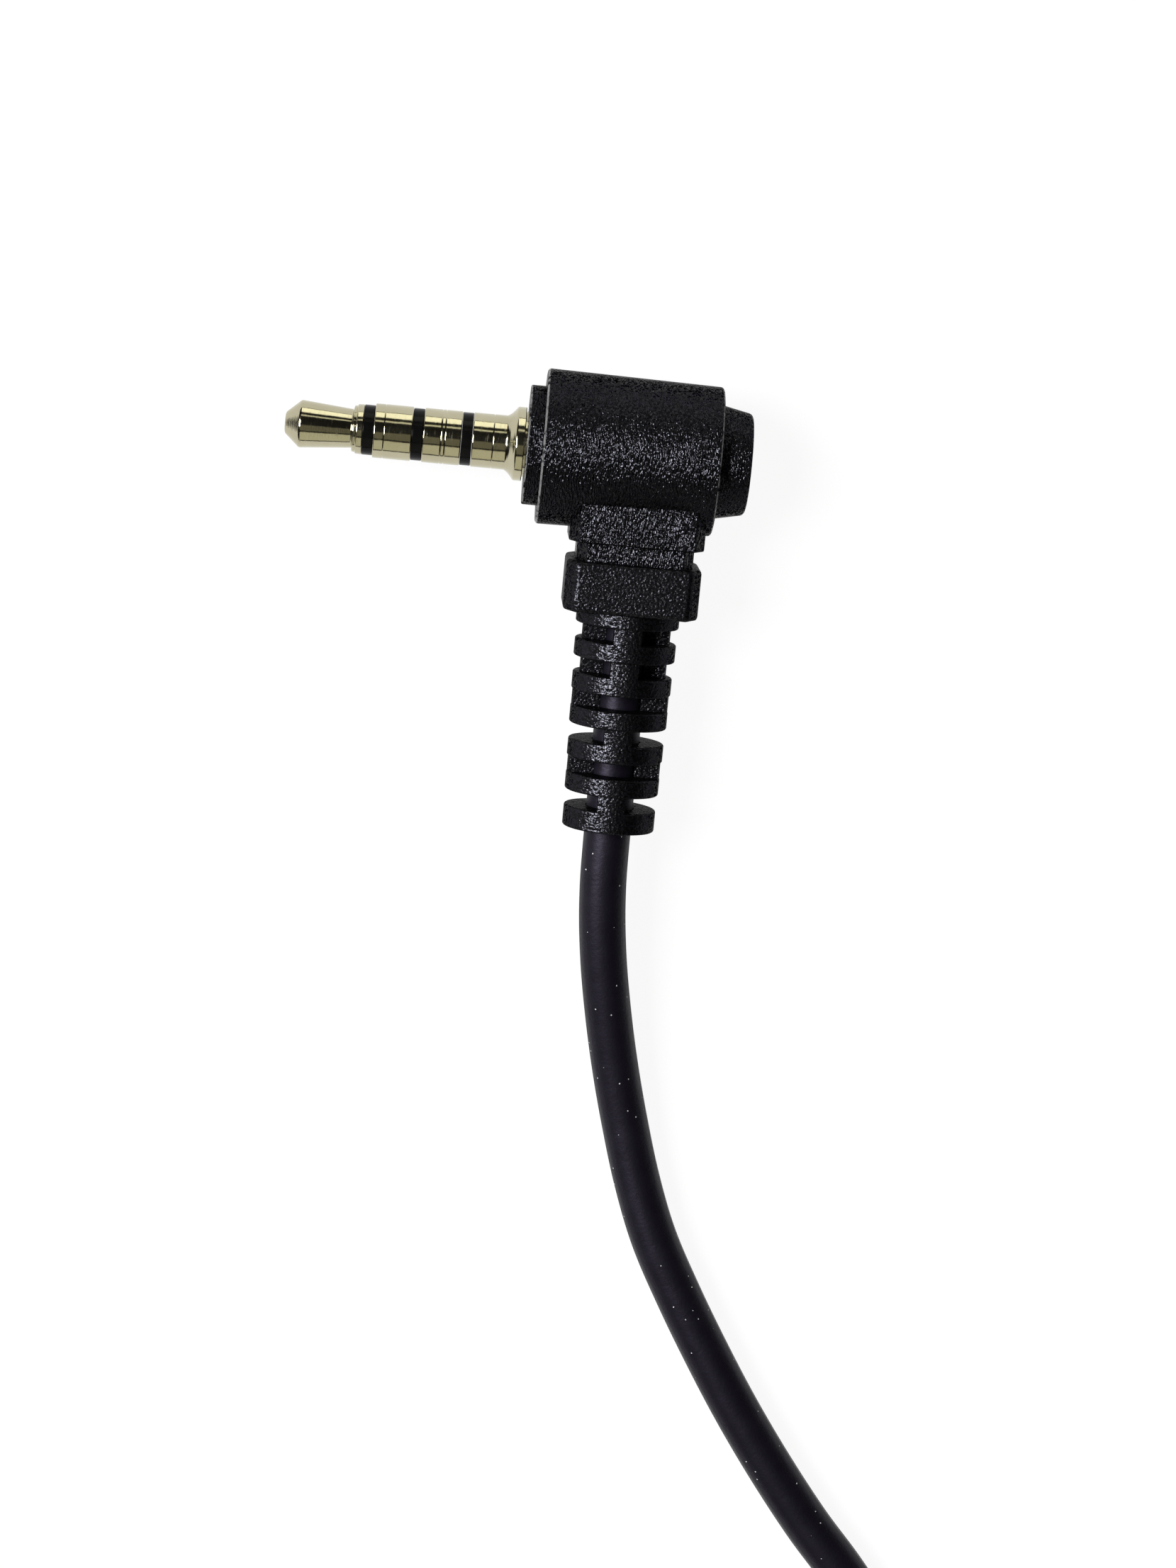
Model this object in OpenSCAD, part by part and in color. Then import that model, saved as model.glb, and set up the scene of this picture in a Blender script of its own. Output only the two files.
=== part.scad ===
// Cable shutter release: a handset with a shutter button and a hold slide, its thin cord
// wound in a coil, and a right-angle 2.5 mm four-pole plug for the camera.
// Millimetres. Everything lies on the plane z = 0. The handset stands over the origin with
// its long side along Y, and the plug lies beside it with its tip towards -X.

/* [Plug contacts] */
// Diameter of the ring contacts and the sleeve
plug_d = 2.5; // [2.4:0.05:3.6]
// Length of the tip from its nose to the first insulator
tip_length = 3.58; // [3.5:0.1:5]
// Length of each of the two ring contacts
ring_length = 1.75; // [1:0.05:2.5]
// Visible length of each insulator between the contacts
insulator_length = 0.51; // [0.3:0.05:1]
// Length of the straight part of the sleeve
sleeve_length = 1.54; // [1:0.05:4]
// Length of the flared shoulder behind the sleeve
shoulder_length = 0.43; // [0.2:0.05:1]
// Thickness of the round flange in front of the plug body
flange_thickness = 0.42; // [0.3:0.05:1]
// Diameter of that flange
flange_d = 3.4; // [3.2:0.1:5]
// Gap between the flange and the front of the plug body
flange_gap = 0.1; // [0.02:0.02:0.2]
// Wall of the thin tubes that run back through the plug
tube_wall = 0.14; // [0.1:0.01:0.15]
// Diameter of the rod behind the tip
rod_d = 0.6; // [0.4:0.05:0.65]

/* [Plug body] */
// Diameter of the front collar of the plug core
collar_d = 5.5; // [5:0.1:6]
// How far the front collar stands out of the barrel
collar_proud = 0.7; // [0.4:0.05:1.5]
// Length of the plug core
core_length = 3; // [2.4:0.1:3.4]
// Barrel diameter at its front
barrel_front_d = 7.15; // [7:0.05:8]
// Barrel diameter at its rear
barrel_rear_d = 6.88; // [6.7:0.05:7.6]
// Length of the barrel
barrel_length = 8.15; // [8:0.05:12]
// Length of the rear cap's boss behind the barrel
boss_length = 1.45; // [0.6:0.05:3]
// Diameter of the boss where it leaves the barrel
boss_d = 5.25; // [4.6:0.05:5.4]
// Diameter of the boss at its end
boss_end_d = 4.65; // [3.6:0.05:4.6]

/* [Plug neck and bend relief] */
// Distance of the neck's centre behind the front of the collar
neck_offset = 5.42; // [5.2:0.02:6]
// Width of the neck block along the barrel
block_width = 6.24; // [5.6:0.02:6.6]
// Thickness of the neck block across the barrel
block_thickness = 5.4; // [5:0.1:6.4]
// End of the upper block, measured from the barrel's axis
upper_block_end = 4.05; // [3.8:0.05:5]
// Length of the groove between the two blocks
groove_length = 0.85; // [0.4:0.05:1.5]
// Depth of that groove
groove_depth = 0.42; // [0.2:0.02:0.7]
// Length of the lower block
lower_block_length = 2.35; // [2.2:0.05:4]
// Diameter of the first relief ring
first_ring_d = 4.8; // [4.4:0.05:5]
// Diameter of the last relief ring
last_ring_d = 4.3; // [3.8:0.05:4.4]
// Length of a relief ring
relief_ring_length = 0.85; // [0.5:0.05:1.1]
// Distance from one relief ring to the next
relief_pitch = 1.57; // [1.4:0.01:2]
// Length of the last, thicker ring
last_ring_length = 1; // [0.8:0.05:2]
// Width of the spines that join the rings
spine_width = 1.28; // [0.8:0.02:1.6]
// How far the neck and its bend relief point down, in degrees
droop = 2; // [0.5:0.5:4]

/* [Cord] */
// Outside diameter of the cord
cord_d = 2.24; // [1.8:0.02:2.3]
// Diameter of one insulated conductor
wire_d = 0.5; // [0.3:0.05:0.6]
// Distance between neighbouring turns of the coil, centre to centre
coil_spacing = 2.7; // [2.7:0.05:3]
// Mean diameter of the coil
coil_mean_d = 24.6; // [22:0.1:27]
// Width of the tie round the coil
tie_width = 3; // [2:0.5:6]
// Thickness of the tie
tie_thickness = 0.35; // [0.2:0.05:0.8]

/* [Handset case] */
// Width of the handset
shell_width = 24; // [23:0.5:30]
// Length of the handset
shell_length = 66; // [65:1:80]
// Height of the closed case
shell_height = 15; // [14.6:0.1:18]
// Wall of the case
wall = 1.6; // [1.2:0.1:2]
// Rounding of the case's upper edge
top_edge_r = 2.4; // [1:0.1:3]
// Rounding of the case's lower edge
bottom_edge_r = 1.4; // [0.6:0.1:2]
// Diameter of the case screws
case_screw_d = 2; // [1.6:0.1:2.2]
// Length of the tapered bend relief outside the case
gland_length = 10; // [8:0.5:10]
// Diameter of the bend relief at the case
gland_d = 6.8; // [6:0.1:7.6]
// Diameter of the bend relief at its tip
gland_tip_d = 4; // [3.4:0.1:5]

/* [Button and hold slide] */
// Diameter of the shutter button
button_d = 12.8; // [10:0.1:13.4]
// How far the button stands above the case at rest
button_proud = 1.9; // [1.7:0.1:3]
// Travel of the button from rest to the full press
button_travel = 1.6; // [1:0.1:1.6]
// Distance of the button's centre from the middle of the handset
button_y = 16; // [15.6:0.1:16.4]
// Width of the hold slide's thumb piece
slider_width = 7; // [5:0.5:10]
// Length of the hold slide's thumb piece
slider_length = 8; // [7:0.5:9]
// Travel of the hold slide
slider_travel = 3; // [2:0.5:4]
// Height of the thumb piece above the case
slider_proud = 1.5; // [1:0.1:2.5]

/* [Circuit board and contacts] */
// Width of the circuit board
board_width = 15; // [14:0.5:16]
// Thickness of the circuit board
board_thickness = 1; // [0.8:0.1:1.2]
// Height of the board's underside above the case floor
board_standoff = 2.4; // [2:0.1:2.6]
// Width of the leaf contacts
leaf_width = 3.5; // [2.5:0.1:4]
// Thickness of the leaf contacts
leaf_thickness = 0.2; // [0.1:0.02:0.25]

/* [Hidden] */
$fn = 64;

// Small clearances
nest_gap = 0.01;     // between the nested tubes of the plug
press_gap = 0.01;    // between parts that are pushed together
cord_gap = 0.03;     // round the cord in its holes
slide_gap = 0.1;     // round parts that move
stop_gap = 0.02;     // between a moving part and its stop
seat_gap = 0.05;     // between parts that only touch
overlap = 0.2;       // how far solids of one piece reach into each other
cut = 1;             // how far a cutter reaches past the surface

// ---- Plug stations along its axis: 0 is the front of the collar, the tip is negative ----
plug_r = plug_d / 2;
insulator_r = plug_r - 0.02;
front_insulator_r = plug_r - 0.16;
rod_r = rod_d / 2;
flange_front = -flange_gap - flange_thickness;
sleeve_rear = flange_front - shoulder_length;
sleeve_front = sleeve_rear - sleeve_length;
rear_ring_rear = sleeve_front - insulator_length;
rear_ring_front = rear_ring_rear - ring_length;
front_ring_rear = rear_ring_front - insulator_length;
front_ring_front = front_ring_rear - ring_length;
tip_rear = front_ring_front - insulator_length;
nose = tip_rear - tip_length;
nose_r = 0.45;
nose_cone = 0.65;            // length of the cone at the nose
tip_r = plug_r - 0.17;       // largest radius behind the nose
tip_neck_r = plug_r - 0.36;  // waist in front of the tip's collar
tip_collar_r = plug_r - 0.14; // the tip's collar widens from here
tip_end_r = plug_r - 0.1;      // to here
tip_collar = 0.26;           // length of the tip's collar
tip_flare = 0.17;            // length of the steep flare in front of it

// Nested tubes: number 0 is the innermost insulator, number 5 the bore of the sleeve
function tube_bore(n) = rod_r + nest_gap + n * (tube_wall + nest_gap);
tail_step = 0.7;             // each tail ends this far behind the one around it
tab_thickness = 0.3;
tab_width = 0.6;
tab_reach = 1.8;             // solder tabs end this far from the plug's axis
sleeve_tail_r = plug_r + 0.25;
sleeve_tail = core_length + 0.4;
rear_ring_tail = sleeve_tail + tail_step;
front_ring_tail = rear_ring_tail + tail_step;
rod_tail = front_ring_tail + 0.9;
insulator_over = 0.3;        // insulator tubes end this far behind the tube around them

// ---- Plug body ----
barrel_front_r = barrel_front_d / 2;
barrel_rear_r = barrel_rear_d / 2;
barrel_rear = collar_proud + barrel_length;
barrel_edge = 0.15;          // small bevel on the barrel's ends
bore_r = collar_d / 2 + press_gap;
cap_plug_length = 1.25;      // how deep the rear cap sits in the barrel
boss_edge_r = 0.3;
block_chamfer_x = 0.47;
block_chamfer_z = 1;
block_corner_r = 0.23;
groove_end = upper_block_end + groove_length;
block_end = groove_end + lower_block_length;
spigot_r = 1.9;
spigot_length = 1.5;
cord_r = cord_d / 2;
cord_bore_r = cord_r + cord_gap;
jacket_bore_r = cord_r + 0.07;
first_ring_centre = block_end + 0.21; // this ring grows out of the lower block
RELIEF_RINGS = 6;            // rings before the last one
relief_last_start = first_ring_centre + (RELIEF_RINGS - 1) * relief_pitch
    + relief_ring_length / 2 + (relief_pitch - relief_ring_length);
relief_end = relief_last_start + last_ring_length;
cord_start = 3.4;            // the cord's sheath ends this far from the barrel's axis

last_ring_r = last_ring_d / 2;
plug_at = [-57, 22, barrel_front_r];

// ---- Handset ----
half_width = shell_width / 2;
straight = shell_length - shell_width;
split_z = shell_height / 2;
inner_top = shell_height - wall;
inner_half = half_width - wall;
rear_y = -shell_length / 2;
cord_z = split_z;
lip_height = 0.9;
lip_thickness = 0.7;
gland_neck_r = gland_d / 2 - 0.7;
gland_flange_r = gland_d / 2 + 0.6;
gland_flange_thickness = 1.2;
land_depth = 2.6;            // flat land inside the rear wall, measured from the case's end
land_y = rear_y + land_depth;
gland_start = rear_y - seat_gap;
gland_mouth = gland_start - gland_length;
clamp_length = 3;
clamp_y = rear_y + 8.5;
clamp_screw_x = 2.6;
clamp_width = 7.6;
clamp_bar = 1.8;
clamp_screw_d = 1.4;
clamp_screw_length = 3.6 * clamp_screw_d;
sheath_end = clamp_y + clamp_length; // the cord's sheath ends here inside the handset

board_z = wall + board_standoff;
board_top = board_z + board_thickness;
board_rear = rear_y + 17;
board_front = 20;
board_hole_y = 3;            // from the board's ends to its holes
board_hole_x = board_width / 2 - 1.5;
board_holes = [
    for (y = [board_rear + board_hole_y, board_front - board_hole_y], x = [-1, 1])
        [x * board_hole_x, y]
];
board_screw_d = 1.6;
board_screw_length = board_thickness + board_standoff - 0.4;
small_head = 1.72;           // head of a small screw, as a share of its diameter
boss_r = case_screw_d / 2 + 1.2;
case_screw_length = 0.6 * shell_height;
counterbore = wall;          // depth of the holes that hide the case screws' heads
front_boss_y = shell_length / 2 - 5;
rear_boss = [half_width - 5.5, rear_y + 8];
screw_places = [[0, front_boss_y], rear_boss, [-rear_boss[0], rear_boss[1]]];

// Button
button_r = button_d / 2;
button_hole_r = button_r + slide_gap;
button_flange_r = button_r + 1.1;
button_flange = 1.18;        // thickness of the flange that keeps the button in
button_top = shell_height + button_proud;
flange_top = inner_top - stop_gap;
flange_bottom = flange_top - button_flange;
guide_r = button_flange_r + slide_gap;
guide_wall = 1;
guide_depth = button_flange + button_travel + 0.2;
stem_d = 3;
dish_r = 22;                 // radius of the hollow in the button's top

// Leaf contacts: the button's stem rests on the common leaf, then meets the other two
leaf_root_y = 2.2;
leaf_block_length = 4;
common_travel = 0.05;
shutter_z = board_top + 1.6;
focus_z = shutter_z + 0.9;
common_z = focus_z + 0.8;
stem_end = common_z + leaf_thickness + common_travel;
leaf_reach = button_y + 1.6;
leaf_leg_step = 0.7;
leaf_step = leaf_width / 4.4; // each leaf ends this far short of the one above it
leaf_block_top = common_z + leaf_thickness + 0.8;

// Hold slide
slider_y = -8;
slot_width = 3.2;
slider_neck_length = 4.6;
carrier_thickness = 1;
carrier_width = slider_width + 1;
carrier_length = slider_length + slider_travel;
carrier_top = inner_top - stop_gap;
wiper_height = 1.2;
wiper_post = 2.4;

// ---- Coil ----
coil_turns = 10.5;
LAYERS = 4;
layer_turns = coil_turns / LAYERS;
RINGS_PER_TURN = 24;
COIL_SIDES = 6;
coil_outer_r = coil_mean_d / 2 + coil_spacing * layer_turns / 2;
coil_inner_r = coil_outer_r - coil_spacing * layer_turns;
coil_lift = tie_thickness + 2 * seat_gap;
coil_at = [-coil_outer_r, -59, coil_lift + cord_r];
coil_steps = coil_turns * RINGS_PER_TURN;
coil_top = coil_spacing * (LAYERS - 1);
coil_start = coil_at + [-coil_outer_r, cord_d, 0];
coil_end = coil_at + [coil_outer_r, cord_d, coil_top];

// ================= Helpers =================

function unit(v) = v / norm(v);
function flat(v, t) = v - (v * t) * t;
function swing(p, angle) = [
    p[0],
    p[1] * cos(angle) - p[2] * sin(angle),
    p[1] * sin(angle) + p[2] * cos(angle)
];
function plug_point(p) = plug_at + swing(p, droop);

// Direction of a route at each of its points
function tangents(route) = [
    for (i = [0:len(route) - 1])
        unit(route[min(i + 1, len(route) - 1)] - route[max(i - 1, 0)])
];

// One side vector for each point, carried along the route without twisting
function sides_of(t, first) = [
    for (i = 0, s = unit(flat(first, t[0])); i < len(t);
         i = i + 1, s = i < len(t) ? unit(flat(s, t[i])) : s) s
];

// A tube along a route, as one closed polyhedron of triangles
module tube(route, r, sides, first = [0, 0, 1]) {
    t = tangents(route);
    s = sides_of(t, first);
    n = len(route);
    points = [
        for (i = [0:n - 1], k = [0:sides - 1])
            let (a = (k + 0.5) * 360 / sides, side = s[i], up = cross(t[i], side))
                route[i] + r * (cos(a) * side + sin(a) * up)
    ];
    walls = [
        for (i = [0:n - 2], k = [0:sides - 1])
            let (a = i * sides + k, b = i * sides + (k + 1) % sides)
                each [[a, a + sides, b], [b, a + sides, b + sides]]
    ];
    ends = [
        for (k = [1:sides - 2]) each [
            [0, k, k + 1],
            [(n - 1) * sides, (n - 1) * sides + k + 1, (n - 1) * sides + k]
        ]
    ];
    polyhedron(points, concat(walls, ends));
}

// Turned shape about the X axis: each profile point is [radius, station]
module turned(profile) {
    rotate([0, 90, 0]) rotate_extrude() polygon(profile);
}

// Straight pin along X between two stations
module rod_x(r, from, to) {
    translate([from, 0, 0]) rotate([0, 90, 0]) cylinder(r = r, h = to - from);
}

// Straight pin along -Y between two distances from the X axis
module rod_down(r, from, to) {
    translate([0, -from, 0]) rotate([90, 0, 0]) cylinder(r = r, h = to - from);
}

// Flat rectangle with round corners, centred
module round_rect(width, height, r) {
    square([width - 2 * r, height], center = true);
    square([width, height - 2 * r], center = true);
    for (x = [-1, 1], y = [-1, 1])
        translate([x * (width / 2 - r), y * (height / 2 - r)]) circle(r);
}

module in_plug() {
    translate(plug_at) rotate([droop, 0, 0]) children();
}

module at_neck() {
    translate([neck_offset, 0, 0]) children();
}

// ================= Plug =================

module tip_contact() {
    color("gainsboro") in_plug() turned([
        [0, nose], [nose_r, nose], [tip_r, nose + nose_cone],
        [tip_neck_r, tip_rear - tip_collar - tip_flare],
        [tip_collar_r, tip_rear - tip_collar], [tip_end_r, tip_rear],
        [rod_r, tip_rear], [rod_r, rod_tail], [0, rod_tail]
    ]);
}

// Wide front part with a thin tube behind it
module stepped_tube(number, r, front, rear, tail) {
    turned([
        [tube_bore(number), front], [r, front], [r, rear],
        [tube_bore(number) + tube_wall, rear], [tube_bore(number) + tube_wall, tail],
        [tube_bore(number), tail]
    ]);
}

// Solder tab that stands out from a tube's tail at an angle about the axis
module solder_tab(r, tail, angle) {
    rotate([angle, 0, 0])
        translate([tail - tab_thickness, -tab_width / 2, r])
            cube([tab_thickness, tab_width, tab_reach - r]);
}

module insulator(number, r, front, rear, tail) {
    color("black") in_plug() stepped_tube(number, r, front, rear, tail);
}

module ring_contact(number, front, rear, tail, angle) {
    color("gainsboro") in_plug() {
        stepped_tube(number, plug_r, front, rear, tail);
        solder_tab(tube_bore(number) + tube_wall / 2, tail, angle);
    }
}

module front_insulator() {
    insulator(0, front_insulator_r, tip_rear + nest_gap, front_ring_front - nest_gap,
              front_ring_tail + insulator_over);
}

module front_ring_contact() {
    ring_contact(1, front_ring_front, front_ring_rear, front_ring_tail, 180);
}

module middle_insulator() {
    insulator(2, insulator_r, front_ring_rear + nest_gap, rear_ring_front - nest_gap,
              rear_ring_tail + insulator_over);
}

module rear_ring_contact() {
    ring_contact(3, rear_ring_front, rear_ring_rear, rear_ring_tail, 0);
}

module rear_insulator() {
    insulator(4, insulator_r, rear_ring_rear + nest_gap, sleeve_front - nest_gap,
              sleeve_tail + insulator_over);
}

module sleeve_contact() {
    color("gainsboro") in_plug() {
        turned([
            [tube_bore(5), sleeve_front], [plug_r, sleeve_front], [plug_r, sleeve_rear],
            [flange_d / 2 - 0.05, flange_front], [flange_d / 2, flange_front],
            [flange_d / 2, -flange_gap], [sleeve_tail_r, -flange_gap],
            [sleeve_tail_r, sleeve_tail], [tube_bore(5), sleeve_tail]
        ]);
        solder_tab((sleeve_tail_r + tube_bore(5)) / 2, sleeve_tail, 90);
    }
}

module plug_core() {
    color("dimgray") in_plug() difference() {
        rod_x(collar_d / 2, 0, core_length);
        rod_x(sleeve_tail_r + press_gap, -cut, core_length + cut);
    }
}

// Cross-section of the neck block, with its long chamfers on the four corners
module block_section(inset = 0) {
    x = block_width / 2 - inset;
    z = block_thickness / 2 - inset;
    polygon([
        [x, -(z - block_chamfer_z)], [x, z - block_chamfer_z], [x - block_chamfer_x, z],
        [-(x - block_chamfer_x), z], [-x, z - block_chamfer_z], [-x, -(z - block_chamfer_z)],
        [-(x - block_chamfer_x), -z], [x - block_chamfer_x, -z]
    ]);
}

// Neck block between two distances from the barrel's axis
module block(from, to, inset = 0) {
    at_neck() translate([0, -from, 0]) rotate([90, 0, 0])
        linear_extrude(to - from) block_section(inset);
}

// The same block with small round corners where its sides meet its ends
module round_block(from, to) {
    middle = -(from + to) / 2;
    intersection() {
        block(from, to);
        at_neck() translate([0, middle, 0])
            linear_extrude(block_thickness + cut, center = true)
                round_rect(block_width, to - from, block_corner_r);
        at_neck() translate([0, middle, 0]) rotate([0, 90, 0])
            linear_extrude(block_width + cut, center = true)
                round_rect(block_thickness, to - from, block_corner_r);
    }
}

module barrel_jacket() {
    color("dimgray") in_plug() difference() {
        union() {
            turned([
                [0, collar_proud], [barrel_front_r - barrel_edge, collar_proud],
                [barrel_front_r, collar_proud + barrel_edge],
                [barrel_rear_r, barrel_rear - barrel_edge],
                [barrel_rear_r - barrel_edge, barrel_rear], [0, barrel_rear]
            ]);
            block(0, upper_block_end);
            block(upper_block_end - overlap, groove_end, groove_depth);
            at_neck() rod_down(spigot_r, groove_end - overlap, groove_end + spigot_length);
        }
        rod_x(bore_r, -cut, barrel_rear + cut);
        at_neck() rod_down(jacket_bore_r, 0, groove_end + spigot_length + cut);
    }
}

module rear_cap() {
    boss_end = barrel_rear + boss_length;
    r = boss_end_d / 2;
    color("dimgray") in_plug() turned(concat(
        [[0, barrel_rear - cap_plug_length],
         [bore_r - press_gap, barrel_rear - cap_plug_length],
         [bore_r - press_gap, barrel_rear], [boss_d / 2, barrel_rear]],
        [for (a = [0:15:90])
            [r - boss_edge_r * (1 - cos(a)), boss_end - boss_edge_r * (1 - sin(a))]],
        [[0, boss_end]]
    ));
}

function relief_start(k) = first_ring_centre + k * relief_pitch - relief_ring_length / 2;
function relief_r(k) =
    (first_ring_d + (last_ring_d - first_ring_d) * k / RELIEF_RINGS) / 2;

// Webs that join ring k to the next one: front and back spines, side webs, or both
module relief_webs(k) {
    from = relief_start(k) + relief_ring_length - overlap;
    to = (k < RELIEF_RINGS - 1 ? relief_start(k + 1) : relief_last_start) + overlap;
    r = relief_r(k + 1);
    spine = k < 2 || k == 3 || k == 5;
    side_r = k < 2 ? r - 0.3 : r;
    if (spine) intersection() {
        rod_down(r, from, to);
        translate([-spine_width / 2, -to - cut, -2 * r])
            cube([spine_width, to - from + 2 * cut, 4 * r]);
    }
    if (!spine || k < 2) intersection() {
        rod_down(side_r, from, to);
        translate([-2 * r, -to - cut, -spine_width / 2])
            cube([4 * r, to - from + 2 * cut, spine_width]);
    }
}

module strain_relief_boot() {
    color("dimgray") in_plug() difference() {
        union() {
            round_block(groove_end, block_end);
            at_neck() {
                for (k = [0:RELIEF_RINGS - 1]) {
                    rod_down(relief_r(k), relief_start(k), relief_start(k) + relief_ring_length);
                    relief_webs(k);
                }
                rod_down(last_ring_r, relief_last_start, relief_end);
            }
        }
        at_neck() {
            rod_down(spigot_r + press_gap, 0, groove_end + spigot_length + press_gap);
            rod_down(cord_bore_r, 0, relief_end + cut);
        }
    }
}

// Conductors from the sheath's end in the neck to the solder tabs, in plug coordinates
module plug_wire(paint, route) {
    color(paint) in_plug() tube(route, wire_d / 2, 6, [1, 0, 0]);
}

wire_spread = 0.32;          // how far the conductors lie from the cord's axis
wire_start = cord_start - 0.05;
tab_wire_r = tab_reach + wire_d / 2 + seat_gap;

module plug_red_wire() {
    plug_wire("firebrick", [
        [neck_offset + wire_spread, -wire_start, -wire_spread],
        [neck_offset + wire_spread + 0.2, -2.2, -wire_spread],
        [rod_tail + 0.5, -1, -0.2],
        [rod_tail + 0.42, -0.4, 0],
        [rod_tail + 0.4, 0.2, 0]
    ]);
}

module plug_white_wire() {
    plug_wire("white", [
        [neck_offset + wire_spread, -wire_start, wire_spread],
        [neck_offset + 0.1, -2, 0.9],
        [rear_ring_tail + 0.6, -1.1, 1.7],
        [rear_ring_tail + 0.1, -0.6, 2.1],
        [rear_ring_tail - 0.15, 0.2, tab_wire_r]
    ]);
}

module plug_green_wire() {
    plug_wire("seagreen", [
        [neck_offset - wire_spread, -wire_start, -wire_spread],
        [neck_offset - 0.4, -2, -0.9],
        [front_ring_tail + 0.1, -1.1, -1.7],
        [front_ring_tail, -0.6, -2.1],
        [front_ring_tail - 0.15, 0.2, -tab_wire_r]
    ]);
}

module plug_shield_wire() {
    plug_wire("peru", [
        [neck_offset - wire_spread, -wire_start, wire_spread],
        [neck_offset - 0.8, -2.5, 0.3],
        [sleeve_tail + 0.6, -2.3, 0.1],
        [sleeve_tail - 0.2, -tab_wire_r, 0]
    ]);
}

// ================= Cord =================

// Free stretch from the plug to the coil: the last point is the start of the coil
stretch_route = concat(
    [for (d = [cord_start, relief_end / 2, relief_end]) plug_point([neck_offset, -d, 0])],
    [
        [-51.5, 1.3, 2.74],
        [-51.2, -1.5, 2.39],
        [-50.7, -4.3, 1.97],
        [-50.07, -7.1, 1.57],
        [-49.33, -9.85, 1.28],
        [-48.48, -12.6, 1.14],
        [-47.42, -15.3, cord_r],
        [-45.98, -18, cord_r],
        [-44.38, -20.7, cord_r],
        [-42.66, -23.4, cord_r],
        [-40.76, -26.1, cord_r],
        [-38.67, -28.8, cord_r],
        [-36.5, -31.3, cord_r],
        [-34.5, -34.1, cord_r],
        [-32.9, -38.2, cord_r],
        [-32, -43, cord_r],
        [-31.7, -48, 1.25]
    ],
    [coil_start + [0, 4, 0], coil_start]
);

// From inside the handset out of the bend relief and on to the coil
tail_route = concat(
    [for (k = [0:0.25:1]) [0, sheath_end + k * (gland_mouth - sheath_end), cord_z]],
    [
        [0, gland_mouth - 2, cord_z],
        [0, gland_mouth - 5.4, cord_z + 0.4],
        [0, gland_mouth - 8, cord_z + 1.1],
        [0, gland_mouth - 10.6, cord_z + 1.8]
    ],
    [coil_end + [0, 1.5, 0], coil_end]
);

// Coil after t turns: it spirals in and out, and climbs a layer where the spiral reverses
function climb(t, k) = min(1, max(0, (t - k * layer_turns + 0.25) / 0.5));
function coil_z(t) = coil_spacing * (climb(t, 1) + climb(t, 2) + climb(t, 3));
function coil_r(t) =
    coil_inner_r + coil_spacing * layer_turns * abs(1 - (t / layer_turns) % 2);
function coil_point(t) = coil_at + [
    coil_r(t) * cos(180 + 360 * t),
    coil_r(t) * sin(180 + 360 * t),
    coil_z(t)
];
coil_route = concat(
    [coil_start],
    [for (i = [0:coil_steps]) coil_point(i / RINGS_PER_TURN)],
    [coil_end]
);

// Least distance between turns, measured on the route's points
function coil_gap() = min([
    for (i = [0:coil_steps], j = [i + RINGS_PER_TURN / 2:coil_steps])
        norm(coil_point(i / RINGS_PER_TURN) - coil_point(j / RINGS_PER_TURN))
]) - cord_d;
function route_length(route) =
    [for (i = 1, l = 0; i <= len(route);
          l = i < len(route) ? l + norm(route[i] - route[i - 1]) : l, i = i + 1) l][len(route) - 1];
echo(coil_gap = coil_gap(), cord_length = route_length(stretch_route)
    + route_length(coil_route) + route_length(tail_route));

module cord_stretch() {
    color("#202020") tube(stretch_route, cord_r, 8);
}

module cord_coil() {
    color("#202020") tube(coil_route, cord_r, COIL_SIDES);
}

module cord_tail() {
    color("#202020") tube(tail_route, cord_r, 8);
}

// Flat tie round the bundle of turns, square to them
module coil_tie() {
    width = coil_outer_r - coil_inner_r + cord_d + 2 * cord_gap + 0.2;
    height = coil_top + cord_d + 2 * seat_gap;
    corner_r = 1.2;
    color("black")
        translate([coil_at[0], coil_at[1] - coil_mean_d / 2, coil_at[2] + coil_top / 2])
            rotate([90, 0, 90]) linear_extrude(tie_width, center = true) difference() {
                round_rect(width + 2 * tie_thickness, height + 2 * tie_thickness,
                           corner_r + tie_thickness);
                round_rect(width, height, corner_r);
            }
}

// ================= Handset =================

// Stretched round puck: a profile from the middle line outwards, carried round the case
module long_puck() {
    for (turn = [0, 180]) rotate([0, 0, turn]) translate([0, straight / 2, 0])
        rotate_extrude(angle = 180) children();
    for (side = [0, 1]) mirror([side, 0, 0])
        rotate([90, 0, 0]) linear_extrude(straight, center = true) children();
}

// Straight-sided puck
module plain_puck(half, from, to) {
    long_puck() translate([0, from]) square([half, to - from]);
}

module case_solid(height, edge_r) {
    long_puck() {
        square([half_width, height - edge_r]);
        square([half_width - edge_r, height]);
        translate([half_width - edge_r, height - edge_r]) circle(edge_r);
    }
}

// Flat land inside the rear wall that the bend relief's flange seats on
module rear_land(from, to) {
    intersection() {
        translate([-gland_flange_r - 1, rear_y, from])
            cube([2 * gland_flange_r + 2, land_depth, to - from]);
        plain_puck(half_width - wall / 2, from, to);
    }
}

module gland_hole() {
    translate([0, land_y + cut, cord_z]) rotate([90, 0, 0])
        cylinder(r = gland_neck_r + press_gap, h = land_depth + 2 * cut);
}

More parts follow.
